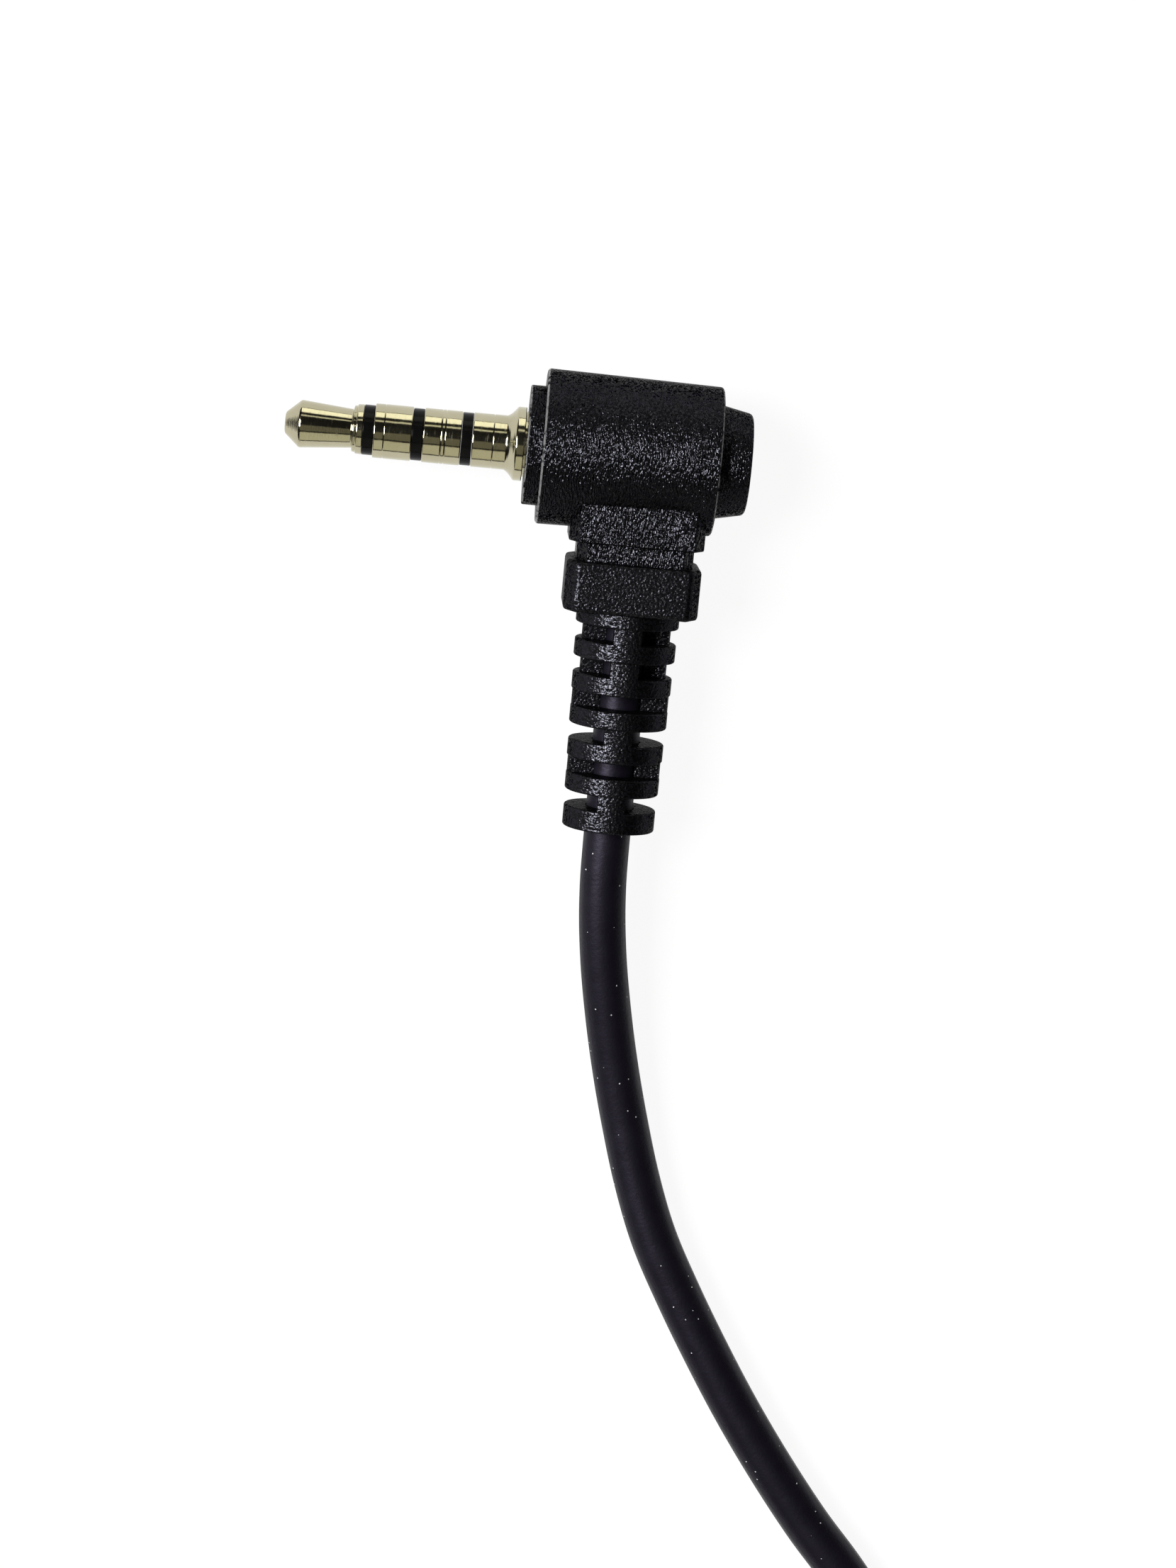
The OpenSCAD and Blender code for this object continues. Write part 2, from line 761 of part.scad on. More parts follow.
module lower_shell() {
    color("#2b2b2d") difference() {
        union() {
            difference() {
                translate([0, 0, split_z]) mirror([0, 0, 1]) case_solid(split_z, bottom_edge_r);
                plain_puck(inner_half, wall, split_z + cut);
            }
            rear_land(wall - overlap, split_z);
            for (p = screw_places) translate([p[0], p[1], wall - overlap])
                cylinder(r = boss_r, h = split_z - wall + overlap);
            for (p = board_holes) translate([p[0], p[1], wall - overlap])
                cylinder(d = board_screw_d + 1.8, h = board_standoff + overlap);
            translate([-clamp_width / 2, clamp_y - clamp_length / 2, wall - overlap])
                cube([clamp_width, clamp_length, cord_z - wall + overlap - seat_gap]);
        }
        plain_puck(half_width - wall + lip_thickness + press_gap, split_z - lip_height, split_z + cut);
        gland_hole();
        for (p = screw_places) translate([p[0], p[1], 0]) {
            translate([0, 0, -cut]) cylinder(d = case_screw_d + 0.2, h = split_z + 2 * cut);
            translate([0, 0, -cut]) cylinder(d = 2 * case_screw_d, h = cut + counterbore);
        }
        for (p = board_holes) translate([p[0], p[1], wall])
            cylinder(d = board_screw_d - 0.3, h = board_standoff + cut);
        translate([0, clamp_y + clamp_length, cord_z]) rotate([90, 0, 0])
            cylinder(r = cord_bore_r, h = 2 * clamp_length);
        for (x = [-1, 1]) translate([x * clamp_screw_x, clamp_y, wall])
            cylinder(d = clamp_screw_d - 0.3, h = split_z);
    }
}

module upper_shell() {
    color("#2b2b2d") difference() {
        union() {
            difference() {
                translate([0, 0, split_z]) case_solid(shell_height - split_z, top_edge_r);
                plain_puck(inner_half, split_z - cut, inner_top);
            }
            difference() {
                plain_puck(inner_half + lip_thickness, split_z - lip_height + seat_gap,
                           split_z + overlap);
                plain_puck(inner_half, split_z - lip_height, split_z + cut);
            }
            rear_land(split_z, inner_top + overlap);
            for (p = screw_places) translate([p[0], p[1], split_z + seat_gap])
                cylinder(r = boss_r, h = inner_top - split_z);
            translate([0, button_y, inner_top - guide_depth])
                cylinder(r = guide_r + guide_wall, h = guide_depth + overlap);
            translate([0, button_y, shell_height - overlap])
                cylinder(r = button_hole_r + 1, h = overlap + 0.5);
        }
        translate([0, button_y, 0]) {
            cylinder(r = button_hole_r, h = shell_height + 2 * cut);
            translate([0, 0, inner_top - guide_depth - cut])
                cylinder(r = guide_r, h = guide_depth + cut);
        }
        gland_hole();
        for (p = screw_places) translate([p[0], p[1], 0])
            cylinder(d = case_screw_d - 0.3, h = shell_height - wall - 1);
        translate([-slot_width / 2, slider_y - slider_neck_length / 2 - slide_gap, inner_top - cut])
            cube([slot_width, slider_neck_length + slider_travel + 2 * slide_gap, wall + 2 * cut]);
    }
}

module shutter_button() {
    color("#55565a") translate([0, button_y, 0]) difference() {
        union() {
            translate([0, 0, flange_bottom]) cylinder(r = button_r, h = button_top - flange_bottom);
            translate([0, 0, flange_bottom]) cylinder(r = button_flange_r, h = button_flange);
            translate([0, 0, stem_end]) cylinder(d = stem_d, h = flange_bottom - stem_end + overlap);
        }
        translate([0, 0, button_top + dish_r - 0.6]) sphere(r = dish_r);
    }
}

module hold_slider() {
    neck_width = slot_width - 2 * slide_gap;
    base = shell_height + slide_gap;
    color("#8c8d92") translate([0, slider_y, 0]) {
        translate([0, 0, base]) linear_extrude(slider_proud - 0.4)
            round_rect(slider_width, slider_length, 1.2);
        for (y = [-2:1:2]) translate([0, y * 1.3, base + slider_proud - 0.4 - overlap / 2])
            translate([-slider_width / 2 + 1, -0.3, 0])
                cube([slider_width - 2, 0.6, 0.4 + overlap / 2]);
        translate([-neck_width / 2, -slider_neck_length / 2, carrier_top])
            cube([neck_width, slider_neck_length, base - carrier_top + overlap]);
    }
}

module slider_carrier() {
    color("#202022") translate([0, slider_y, 0]) {
        translate([-carrier_width / 2, -carrier_length / 2, carrier_top - carrier_thickness])
            cube([carrier_width, carrier_length, carrier_thickness]);
        translate([-wiper_post / 2, -wiper_post / 2, board_top + wiper_height])
            cube([wiper_post, wiper_post, carrier_top - board_top - wiper_height - overlap]);
    }
}

// Sprung clip under the post: a plate with a round contact at its middle
module slider_wiper() {
    color("goldenrod") translate([0, slider_y, board_top]) {
        translate([-wiper_post / 2, -wiper_post / 2, wiper_height - leaf_thickness])
            cube([wiper_post, wiper_post, leaf_thickness]);
        translate([0, 0, seat_gap]) cylinder(r = 0.7, h = wiper_height - leaf_thickness);
    }
}

module circuit_board() {
    color("darkgreen") difference() {
        translate([-board_width / 2, board_rear, board_z])
            cube([board_width, board_front - board_rear, board_thickness]);
        for (p = board_holes) translate([p[0], p[1], board_z - cut])
            cylinder(d = board_screw_d + 0.2, h = board_thickness + 2 * cut);
    }
}

module ladder_resistors() {
    color("#1c1c1e") for (y = [4, 7, 10]) translate([4.6, y, board_top])
        cube([2, 1.25, 0.5]);
}

// Height of each leaf and how far its leg stands behind the block
function leaf_slot(z) = [z - press_gap, leaf_thickness + 2 * press_gap];

module leaf_block() {
    color("#2a2a2c") difference() {
        translate([-leaf_width / 2 - 1.2, leaf_root_y, board_top])
            cube([leaf_width + 2.4, leaf_block_length, leaf_block_top - board_top]);
        for (z = [shutter_z, focus_z, common_z])
            translate([-leaf_width / 2 - press_gap, leaf_root_y - cut, leaf_slot(z)[0]])
                cube([leaf_width + 2 * press_gap, leaf_block_length + 2 * cut, leaf_slot(z)[1]]);
    }
}

// Leaf spring with a leg down to the board behind the block and a round contact at its tip
module leaf(z, reach, leg) {
    leg_y = leaf_root_y - leg * leaf_leg_step;
    color("goldenrod") {
        translate([-leaf_width / 2, leg_y, z]) cube([leaf_width, reach - leg_y, leaf_thickness]);
        translate([-0.5, leg_y, board_top]) cube([1, leaf_thickness, z - board_top + overlap / 2]);
    }
}

module common_leaf() {
    leaf(common_z, leaf_reach, 3);
}

module focus_leaf() {
    leaf(focus_z, leaf_reach - leaf_step, 2);
}

module shutter_leaf() {
    leaf(shutter_z, leaf_reach - 2 * leaf_step, 1);
}

module cord_clamp() {
    bottom = cord_z + seat_gap;
    color("#2a2a2c") difference() {
        translate([-clamp_width / 2, clamp_y - clamp_length / 2, bottom])
            cube([clamp_width, clamp_length, clamp_bar]);
        translate([0, clamp_y + clamp_length, cord_z]) rotate([90, 0, 0])
            cylinder(r = cord_bore_r, h = 2 * clamp_length);
        for (x = [-1, 1]) translate([x * clamp_screw_x, clamp_y, bottom - cut])
            cylinder(d = clamp_screw_d + 0.2, h = clamp_bar + 2 * cut);
    }
}

// Screw pointing down: shank below the seat, round head above it
module screw(seat, shank_d, length, head_d, head) {
    translate([0, 0, seat - length]) cylinder(d = shank_d, h = length + overlap);
    difference() {
        translate([0, 0, seat]) cylinder(d = head_d, h = head);
        translate([0, 0, seat + head / 2]) cube([head_d * 0.6, 0.25, head + cut], center = true);
        translate([0, 0, seat + head / 2]) cube([0.25, head_d * 0.6, head + cut], center = true);
    }
}

module clamp_screws() {
    color("silver") for (x = [-1, 1]) translate([x * clamp_screw_x, clamp_y, 0])
        screw(cord_z + seat_gap + clamp_bar + press_gap, clamp_screw_d - 0.32,
              clamp_screw_length, small_head * clamp_screw_d, 0.8);
}

module board_screws() {
    color("silver") for (p = [board_holes[0], board_holes[3]]) translate([p[0], p[1], 0])
        screw(board_top + press_gap, board_screw_d - 0.32, board_screw_length,
              small_head * board_screw_d, 0.9);
}

module case_screws() {
    color("silver") for (p = screw_places) translate([p[0], p[1], 0])
        mirror([0, 0, 1])
            screw(press_gap - counterbore, case_screw_d - 0.32, case_screw_length,
                  2 * case_screw_d - 0.3, 1.3);
}

// Tapered relief outside the case, a neck through the wall and a flange behind the land
module handset_gland() {
    groove = 0.45;
    pitch = 1.9;
    grooves = 4;
    flange_start = land_y + press_gap;
    color("#202020") translate([0, 0, cord_z]) rotate([90, 0, 0]) difference() {
        union() {
            translate([0, 0, -gland_start])
                cylinder(d1 = gland_d, d2 = gland_tip_d, h = gland_length);
            translate([0, 0, -flange_start]) cylinder(r = gland_neck_r, h = flange_start - gland_start + overlap);
            translate([0, 0, -flange_start - gland_flange_thickness])
                cylinder(r = gland_flange_r, h = gland_flange_thickness);
        }
        translate([0, 0, -land_y - gland_flange_thickness - cut])
            cylinder(r = cord_bore_r, h = gland_flange_thickness + land_depth + gland_length + 3 * cut);
        for (k = [0:grooves - 1]) translate([0, 0, -gland_start + 1.2 + k * pitch]) difference() {
            cylinder(d = gland_d + cut, h = pitch * 0.4);
            translate([0, 0, -cut]) cylinder(d = gland_tip_d - 2 * groove + 0.4, h = pitch + 2 * cut);
        }
    }
}

// Conductors from the sheath's end to the rear edge of the board
module handset_wire(paint, side, up, pad_x) {
    color(paint) tube([
        [side * wire_spread, sheath_end + seat_gap, cord_z + up * wire_spread],
        [side * wire_spread * 2, sheath_end + 2, cord_z + up * wire_spread],
        [pad_x * 0.7, board_rear - 1, cord_z - 0.4 + up * wire_spread],
        [pad_x, board_rear + 0.8, board_top + 1.1],
        [pad_x, board_rear + 1.6, board_top + wire_d / 2 + seat_gap]
    ], wire_d / 2, 6, [1, 0, 0]);
}

module handset_red_wire() {
    handset_wire("firebrick", -1, 1, -2.6);
}

module handset_white_wire() {
    handset_wire("white", -1, -1, -0.9);
}

module handset_green_wire() {
    handset_wire("seagreen", 1, -1, 0.9);
}

module handset_shield_wire() {
    handset_wire("peru", 1, 1, 2.6);
}

// ================= Output =================

tip_contact();
front_insulator();
front_ring_contact();
middle_insulator();
rear_ring_contact();
rear_insulator();
sleeve_contact();
plug_core();
barrel_jacket();
rear_cap();
strain_relief_boot();
plug_red_wire();
plug_white_wire();
plug_green_wire();
plug_shield_wire();
cord_stretch();
cord_coil();
cord_tail();
coil_tie();
handset_gland();
lower_shell();
upper_shell();
shutter_button();
hold_slider();
slider_carrier();
slider_wiper();
circuit_board();
ladder_resistors();
leaf_block();
common_leaf();
focus_leaf();
shutter_leaf();
cord_clamp();
clamp_screws();
handset_red_wire();
handset_white_wire();
handset_green_wire();
handset_shield_wire();
case_screws();
board_screws();
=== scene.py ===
# %% [markdown]
# # A cable shutter release
#
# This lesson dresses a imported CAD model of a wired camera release: a small handset, a thin
# cord and a right-angle jack plug. The CAD model gives every size and place. Blender gives
# the looks: rounded edges, turned metal, grained plastic and soft light.
#
# Everything is in metres, in the CAD model's own frame, so nothing has to be fitted by eye.

# %% Load the frame
import math

import bmesh
import bpy
from mathutils import Matrix, Vector


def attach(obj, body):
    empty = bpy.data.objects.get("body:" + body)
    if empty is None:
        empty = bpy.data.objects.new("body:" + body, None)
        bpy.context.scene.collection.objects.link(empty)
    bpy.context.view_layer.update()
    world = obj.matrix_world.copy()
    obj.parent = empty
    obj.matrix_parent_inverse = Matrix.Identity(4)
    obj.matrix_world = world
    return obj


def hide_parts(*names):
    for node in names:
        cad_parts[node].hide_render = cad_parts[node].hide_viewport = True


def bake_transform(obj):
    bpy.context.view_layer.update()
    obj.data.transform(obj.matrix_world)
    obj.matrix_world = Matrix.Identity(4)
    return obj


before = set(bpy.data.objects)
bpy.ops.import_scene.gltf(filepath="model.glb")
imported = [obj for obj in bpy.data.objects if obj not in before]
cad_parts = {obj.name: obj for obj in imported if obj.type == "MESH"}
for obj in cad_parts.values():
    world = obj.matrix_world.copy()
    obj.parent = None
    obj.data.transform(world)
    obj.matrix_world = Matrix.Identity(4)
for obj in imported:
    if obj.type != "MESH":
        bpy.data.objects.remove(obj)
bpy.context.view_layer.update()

# %% [markdown]
# ## The camera
#
# The camera looks almost straight down on the plug from 175 mm away. It leans a few
# degrees, so the plug's upper rims just show, and it is rolled about its own axis, so the
# plug lies slightly turned in the frame. Building the three axes by hand keeps the roll
# exact: a track-to constraint can't tell which way is up when it looks straight down. The
# frame is upright, and Blender then lays the sensor's width along its longer side.

# %% Camera
FRAME_HEIGHT = 2212  # the longer side of the frame, in pixels
FOCAL_PIXELS = 5192.7  # how large a thing looks, in pixels, that is as large as it is far
SENSOR_WIDTH = 36.0
NEAREST, FARTHEST = 0.005, 10.0  # the camera draws only what lies between
VIEW_TARGET = Vector((-0.05256, 0.00614, 0.0))
VIEW_DISTANCE = 0.175
LEAN_X, LEAN_Y, ROLL = (math.radians(a) for a in (2.32, 6.93, 5.07))

back = Vector((-math.sin(LEAN_X), math.sin(LEAN_Y), 0.0))
back.z = math.sqrt(1 - back.length_squared)
right = Vector((1, 0, 0)) - back * back.x
right.normalize()
turn = Matrix.Rotation(ROLL, 3, back)
right = turn @ right
up = back.cross(right)

camera_data = bpy.data.cameras.new("camera")
camera_data.sensor_width = SENSOR_WIDTH
camera_data.lens = SENSOR_WIDTH * FOCAL_PIXELS / FRAME_HEIGHT
camera_data.clip_start, camera_data.clip_end = NEAREST, FARTHEST
camera = bpy.data.objects.new("camera", camera_data)
bpy.context.scene.collection.objects.link(camera)
camera.matrix_world = Matrix.Translation(VIEW_TARGET + back * VIEW_DISTANCE) @ Matrix(
    (right, up, back)
).transposed().to_4x4()
bpy.context.scene.camera = camera
print("camera at", [round(x, 4) for x in camera.location], "lens", round(camera_data.lens, 1))

# %% [markdown]
# ## Writing materials as sums
#
# A node tree is a formula drawn as boxes and wires. Long formulas are easier to read as
# text, so a small class wraps a socket and turns Python's operators into Math nodes. With
# it, 1 - mask and mask * 0.3 mean what they say.

# %% Sockets that can be added and multiplied
def fill(tree, slot, value):
    """Links a Value to a node's input, or writes a plain number or colour into it."""
    if isinstance(value, Value):
        tree.links.new(value.socket, slot)
    else:
        slot.default_value = value


class Value:
    """A socket whose operators add Math nodes to its tree."""

    def __init__(self, tree, socket):
        self.tree, self.socket = tree, socket

    def _worked_out(self, operation, values):
        node = self.tree.nodes.new("ShaderNodeMath")
        node.operation = operation
        for slot, value in zip(node.inputs, values):
            fill(self.tree, slot, value)
        return Value(self.tree, node.outputs[0])

    def math(self, operation, *others):
        return self._worked_out(operation, (self, *others))

    def __add__(self, other):
        return self.math("ADD", other)

    def __sub__(self, other):
        return self.math("SUBTRACT", other)

    def __mul__(self, other):
        return self.math("MULTIPLY", other)

    def __pow__(self, other):
        return self.math("POWER", other)

    def __gt__(self, other):
        return self.math("GREATER_THAN", other)

    def __lt__(self, other):
        return self.math("LESS_THAN", other)

    def __rsub__(self, other):
        return self._worked_out("SUBTRACT", (other, self))

    __radd__, __rmul__ = __add__, __mul__

    def between(self, low, high):
        """0 below low, 1 above high, and a smooth step between them."""
        node = self.tree.nodes.new("ShaderNodeMapRange")
        node.interpolation_type = "SMOOTHSTEP"
        self.tree.links.new(self.socket, node.inputs[0])
        node.inputs[1].default_value, node.inputs[2].default_value = low, high
        return Value(self.tree, node.outputs[0])


print("sockets can be added, multiplied and compared")

# %% [markdown]
# ## One material
#
# A second class holds one material: a Principled shader and whatever steers it. A single
# method makes every other kind of node, and a few short ones name what is used most: noise,
# specks, a mix of two colours and a relief. All patterns read Object coordinates, so they
# have their real size, and they stay on the piece when it moves.

# %% Finishes
finishes = {}  # material slot of the CAD model -> its procedural material


class Finish:
    """One procedural material, built round a Principled shader."""

    def __init__(self, name, **constants):
        self.material = finishes[name] = bpy.data.materials.new(name + "_look")
        self.material.use_nodes = True
        self.tree = self.material.node_tree
        self.shader = self.tree.nodes["Principled BSDF"]
        for label, value in constants.items():
            self.shader.inputs[label.replace("_", " ")].default_value = value
        self.place = self.node("ShaderNodeTexCoord", output="Object")

    def node(self, kind, settings=None, output=0, **values):
        """Makes any node: its settings first, then values or links for its inputs, which are
        given by name, or by number as in _6. A tuple asks for several outputs."""
        node = self.tree.nodes.new(kind)
        for label, value in (settings or {}).items():
            setattr(node, label, value)
        for label, value in values.items():
            number = label[1:]
            slot = node.inputs[int(number) if number.isdigit() else label.replace("_", " ")]
            fill(self.tree, slot, value)
        if isinstance(output, tuple):
            return [Value(self.tree, node.outputs[name]) for name in output]
        return Value(self.tree, node.outputs[output])

    def axes(self):
        """The X, the Y and the Z of Object coordinates."""
        return self.node("ShaderNodeSeparateXYZ", output=("X", "Y", "Z"), Vector=self.place)

    def mapped(self, scale=(1, 1, 1), turn=(0, 0, 0)):
        """Object coordinates, stretched and turned."""
        return self.node("ShaderNodeMapping", Vector=self.place, Scale=scale, Rotation=turn)

    def noise(self, size, detail=2.0, rough=0.5, twist=0.0, at=None):
        """Noise whose blobs are about size metres across, as a number from 0 to 1."""
        return self.node("ShaderNodeTexNoise", Vector=at or self.place, Scale=1 / size,
                         Detail=detail, Roughness=rough, Distortion=twist)

    def specks(self, spacing, radius):
        """A mask of specks about spacing metres apart. radius: theirs, as a share of that."""
        return self.node("ShaderNodeTexVoronoi", Vector=self.place, Scale=1 / spacing) < radius

    def mix(self, share, low, high):
        """A colour between two others: inputs 6 and 7 and output 2 are a Mix node's colours."""
        return self.node("ShaderNodeMix", {"data_type": "RGBA"}, output=2,
                         _0=share, _6=low, _7=high)

    def bump(self, height, depth, after=None):
        """Turns a height of 0 to 1 into a relief depth metres deep, on top of another one."""
        more = {"Normal": after} if after else {}
        return self.node("ShaderNodeBump", Height=height, Distance=depth, **more)

    def drive(self, **links):
        """Plugs results into the shader's sockets, and returns the material."""
        for label, value in links.items():
            self.tree.links.new(value.socket, self.shader.inputs[label.replace("_", " ")])
        return self.material


print("finishes are ready to be written")

# %% [markdown]
# ## The cord sheath
#
# The sheath is soft black PVC with a satin skin. It isn't quite smooth: the extruder leaves
# a fine grain and a faint waviness, and pale dust clings to it. Two noises make the skin, a
# coarse and a fine one, and each adds a relief of its own. The dust is two scatters of
# specks, a dense one of fine specks and a sparse one of larger ones.

# %% Cord sheath finish
def grey(level, blue=0.0):
    """A colour near grey, slightly bluer if asked."""
    return (level, level, level + blue, 1.0)


def cord_sheath():
    skin = Finish("cord_sheath", Specular_IOR_Level=0.26, IOR=1.4,
                  Specular_Tint=(0.82, 0.74, 1.0, 1))
    waves = skin.noise(0.0011, detail=3)
    grain = skin.noise(0.00016, detail=3, rough=0.6)
    dust = skin.specks(0.0006, 0.06).math("MAXIMUM", skin.specks(0.0021, 0.022))
    vinyl = skin.mix(waves, (0.0028, 0.0023, 0.0040, 1), (0.0048, 0.0041, 0.0068, 1))
    colour = skin.mix(dust, vinyl, grey(0.36))
    relief = skin.bump(grain, 0.000012, after=skin.bump(waves, 0.00003))
    return skin.drive(Base_Color=colour, Roughness=0.36 + waves * 0.1 + grain * 0.08,
                      Normal=relief)


sheath = cord_sheath()
print("made", sheath.name)

# %% [markdown]
# ## The cord's route
#
# The cord leaves the handset, runs into a neat coil that is put away beside it, and from
# there a free stretch leads to the plug. The route is the CAD model's own: the same points
# and the same coil formula, in metres. A Catmull-Rom curve rounds the straight pieces
# between the points, so that the cord bends smoothly.

# %% Where the cord starts and ends
MM = 0.001
PLUG_AT = Vector((-57, 22, 3.575))  # front of the plug's collar, on its axis
DROOP = math.radians(2)
NECK = 5.42  # where the neck's centre stands along the plug
RELIEF_END = 17.455  # how far the bend relief reaches from the plug's axis
CORD_START = 3.4  # how far from that axis the sheath ends inside the neck
CORD_R = 1.12
plug_frame = Matrix.Translation(PLUG_AT) @ Matrix.Rotation(DROOP, 4, "X")
SHEATH_END, GLAND_MOUTH, CORD_Z = -21.5, -43.05, 7.5  # the cord's start in the handset
print("plug at", PLUG_AT[:], "handset end at", GLAND_MOUTH)

# %% The coil's formula
COIL_TURNS, LAYERS, SPACING = 10.5, 4, 2.7
LAYER_TURNS = COIL_TURNS / LAYERS
COIL_OUTER, COIL_INNER = 15.84375, 8.75625
COIL_AT = Vector((-COIL_OUTER, -59, 1.57))
COIL_STEPS = 48  # points per turn
CLIMB_TURNS = 0.5  # how much of a turn the cord takes to climb a layer


def climb(t, k):
    """How much of the step up to layer k is done after t turns, from 0 to 1."""
    return min(1, max(0, (t - k * LAYER_TURNS + CLIMB_TURNS / 2) / CLIMB_TURNS))


def coil_point(t):
    """The coil after t turns: it spirals in and out, and climbs where it turns back."""
    r = COIL_INNER + SPACING * LAYER_TURNS * abs(1 - (t / LAYER_TURNS) % 2)
    a = math.pi + 2 * math.pi * t
    rise = SPACING * sum(climb(t, k) for k in range(1, LAYERS))
    return COIL_AT + Vector((r * math.cos(a), r * math.sin(a), rise))


coil = [coil_point(i / COIL_STEPS) for i in range(int(COIL_STEPS * COIL_TURNS) + 1)]
coil_start = COIL_AT + Vector((-COIL_OUTER, 2 * CORD_R, 0))
coil_end = COIL_AT + Vector((COIL_OUTER, 2 * CORD_R, (LAYERS - 1) * SPACING))
print("coil points", len(coil))

# %% The whole route
STEPS_BETWEEN = 8  # points on the smooth curve from one given point to the next


def rounded(points):
    """More points on a smooth curve through the given ones."""
    ends = [2 * points[0] - points[1], *points, 2 * points[-1] - points[-2]]
    out = []
    for a, b, c, d in zip(ends, ends[1:], ends[2:], ends[3:]):
        for i in range(STEPS_BETWEEN):
            t = i / STEPS_BETWEEN
            out.append(0.5 * (2 * b + (c - a) * t + (2 * a - 5 * b + 4 * c - d) * t * t
                              + (3 * b - a - 3 * c + d) * t ** 3))
    return [*out, points[-1]]


tail = [Vector((0, SHEATH_END + share * (GLAND_MOUTH - SHEATH_END), CORD_Z))
        for share in (0, 0.25, 0.5, 0.75, 1)]
tail += [Vector((0, GLAND_MOUTH - out, CORD_Z + rise))
         for out, rise in ((2, 0), (5.4, 0.4), (8, 1.1), (10.6, 1.8))]
tail += [coil_end + Vector((0, 1.5, 0)), coil_end]
free = [coil_start, coil_start + Vector((0, 4, 0))]
free += [Vector(p) for p in (
    (-31.7, -48, 1.25), (-32, -43, CORD_R), (-32.9, -38.2, CORD_R), (-34.5, -34.1, CORD_R),
    (-36.5, -31.3, CORD_R), (-38.67, -28.8, CORD_R), (-40.76, -26.1, CORD_R),
    (-42.66, -23.4, CORD_R), (-44.38, -20.7, CORD_R), (-45.98, -18, CORD_R),
    (-47.42, -15.3, CORD_R), (-48.48, -12.6, 1.14), (-49.33, -9.85, 1.28),
    (-50.07, -7.1, 1.57), (-50.7, -4.3, 1.97), (-51.2, -1.5, 2.39), (-51.5, 1.3, 2.74))]
free += [plug_frame @ Vector((NECK, -d, 0)) for d in (RELIEF_END, RELIEF_END / 2, CORD_START)]
route = rounded(tail)[:-1] + coil[::-1] + rounded(free)
length = sum((b - a).length for a, b in zip(route, route[1:])) * MM
print("cord points", len(route), "length in m", round(length, 4))

# %% [markdown]
# ## The cord itself
#
# One curve with a round bevel makes the whole cord. A circle could also be swept along the
# route as a mesh, but a curve keeps its thickness in every bend by itself, and the route
# can still be edited. It stands for all three of the CAD model's solids of the cord.

# %% The cord itself
centre_line = bpy.data.curves.new("cord", "CURVE")
centre_line.dimensions = "3D"
centre_line.bevel_depth = CORD_R * MM
centre_line.bevel_resolution = 5
centre_line.use_fill_caps = True
spline = centre_line.splines.new("POLY")
spline.points.add(len(route) - 1)
for point, place in zip(spline.points, route):
    point.co = (*(place * MM), 1)
spline.use_smooth = True
centre_line.materials.append(sheath)
cord = bpy.data.objects.new("cord", centre_line)
bpy.context.scene.collection.objects.link(cord)
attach(cord, "handset")
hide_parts("cord_stretch", "cord_coil", "cord_tail")
print("cord is", round(2 * CORD_R, 2), "mm thick")

# %% [markdown]
# ## A lathe for the plug
#
# A jack plug is turned on a lathe, so most of its pieces start as half a profile. The
# profile's corners are rounded first, as a cutter or a mould leaves them, and then it is
# spun about its axis. Stacked cylinders would be quicker, but they would have knife edges
# and seams inside. Every finished mesh is moved to its place point by point: its object
# stays at the origin, so that a pattern on Object coordinates runs on from piece to piece.

# %% Spinning a profile
SAME_POINT = 1e-5  # points nearer than this, in millimetres, are one


def turned(profile, rounds=None, steps=96):
    """Spins a closed profile of (station, radius) about the X axis. rounds: corner -> radius."""
    bm = bmesh.new()
    corners = [bm.verts.new((x, r, 0)) for x, r in profile]
    for a, b in zip(corners, corners[1:] + corners[:1]):
        if not (a.co.y == 0 and b.co.y == 0):
            bm.edges.new((a, b))
    for index, radius in (rounds or {}).items():
        bmesh.ops.bevel(bm, geom=[corners[index]], offset=radius, offset_type="OFFSET",
                        segments=4, profile=0.5, affect="VERTICES", material=-1)
    bmesh.ops.spin(bm, geom=bm.verts[:] + bm.edges[:], cent=(0, 0, 0), axis=(1, 0, 0),
                   angle=2 * math.pi, steps=steps, use_merge=True)
    bmesh.ops.remove_doubles(bm, verts=bm.verts, dist=SAME_POINT)
    bmesh.ops.recalc_face_normals(bm, faces=bm.faces)
    return bm


print("lathe is ready")

# %% [markdown]
# ## Finishing a piece
#
# Plain smooth shading bends the light on a large flat face wherever a narrow bevel meets it.
# The cure is a normal for every corner of every face, in which each neighbour counts by its
# area: the large faces then stay flat, and only the bevels turn. A Weighted Normal modifier
# does much the same, but writing the normals at once leaves nothing live on the mesh.

# %% Shading, and standing a piece in for a CAD node
CREASE = math.radians(35)  # faces that meet at more than this keep a sharp edge


def shade_by_area(mesh):
    """Smooth shading in which large faces stay flat and their narrow rounded edges turn."""
    mesh.shade_smooth()
    mesh.set_sharp_from_angle(angle=CREASE)
    limit = math.cos(CREASE)
    around = [[] for _ in mesh.vertices]
    for face in mesh.polygons:
        for corner in face.vertices:
            around[corner].append((face.normal.copy(), face.area))
    normals = []
    for face in mesh.polygons:
        for corner in face.vertices:
            near = (n * area for n, area in around[corner] if n.dot(face.normal) > limit)
            normals.append(sum(near, Vector()).normalized())
    mesh.normals_split_custom_set(normals)


dressed = {}  # CAD node -> the piece that stands for it


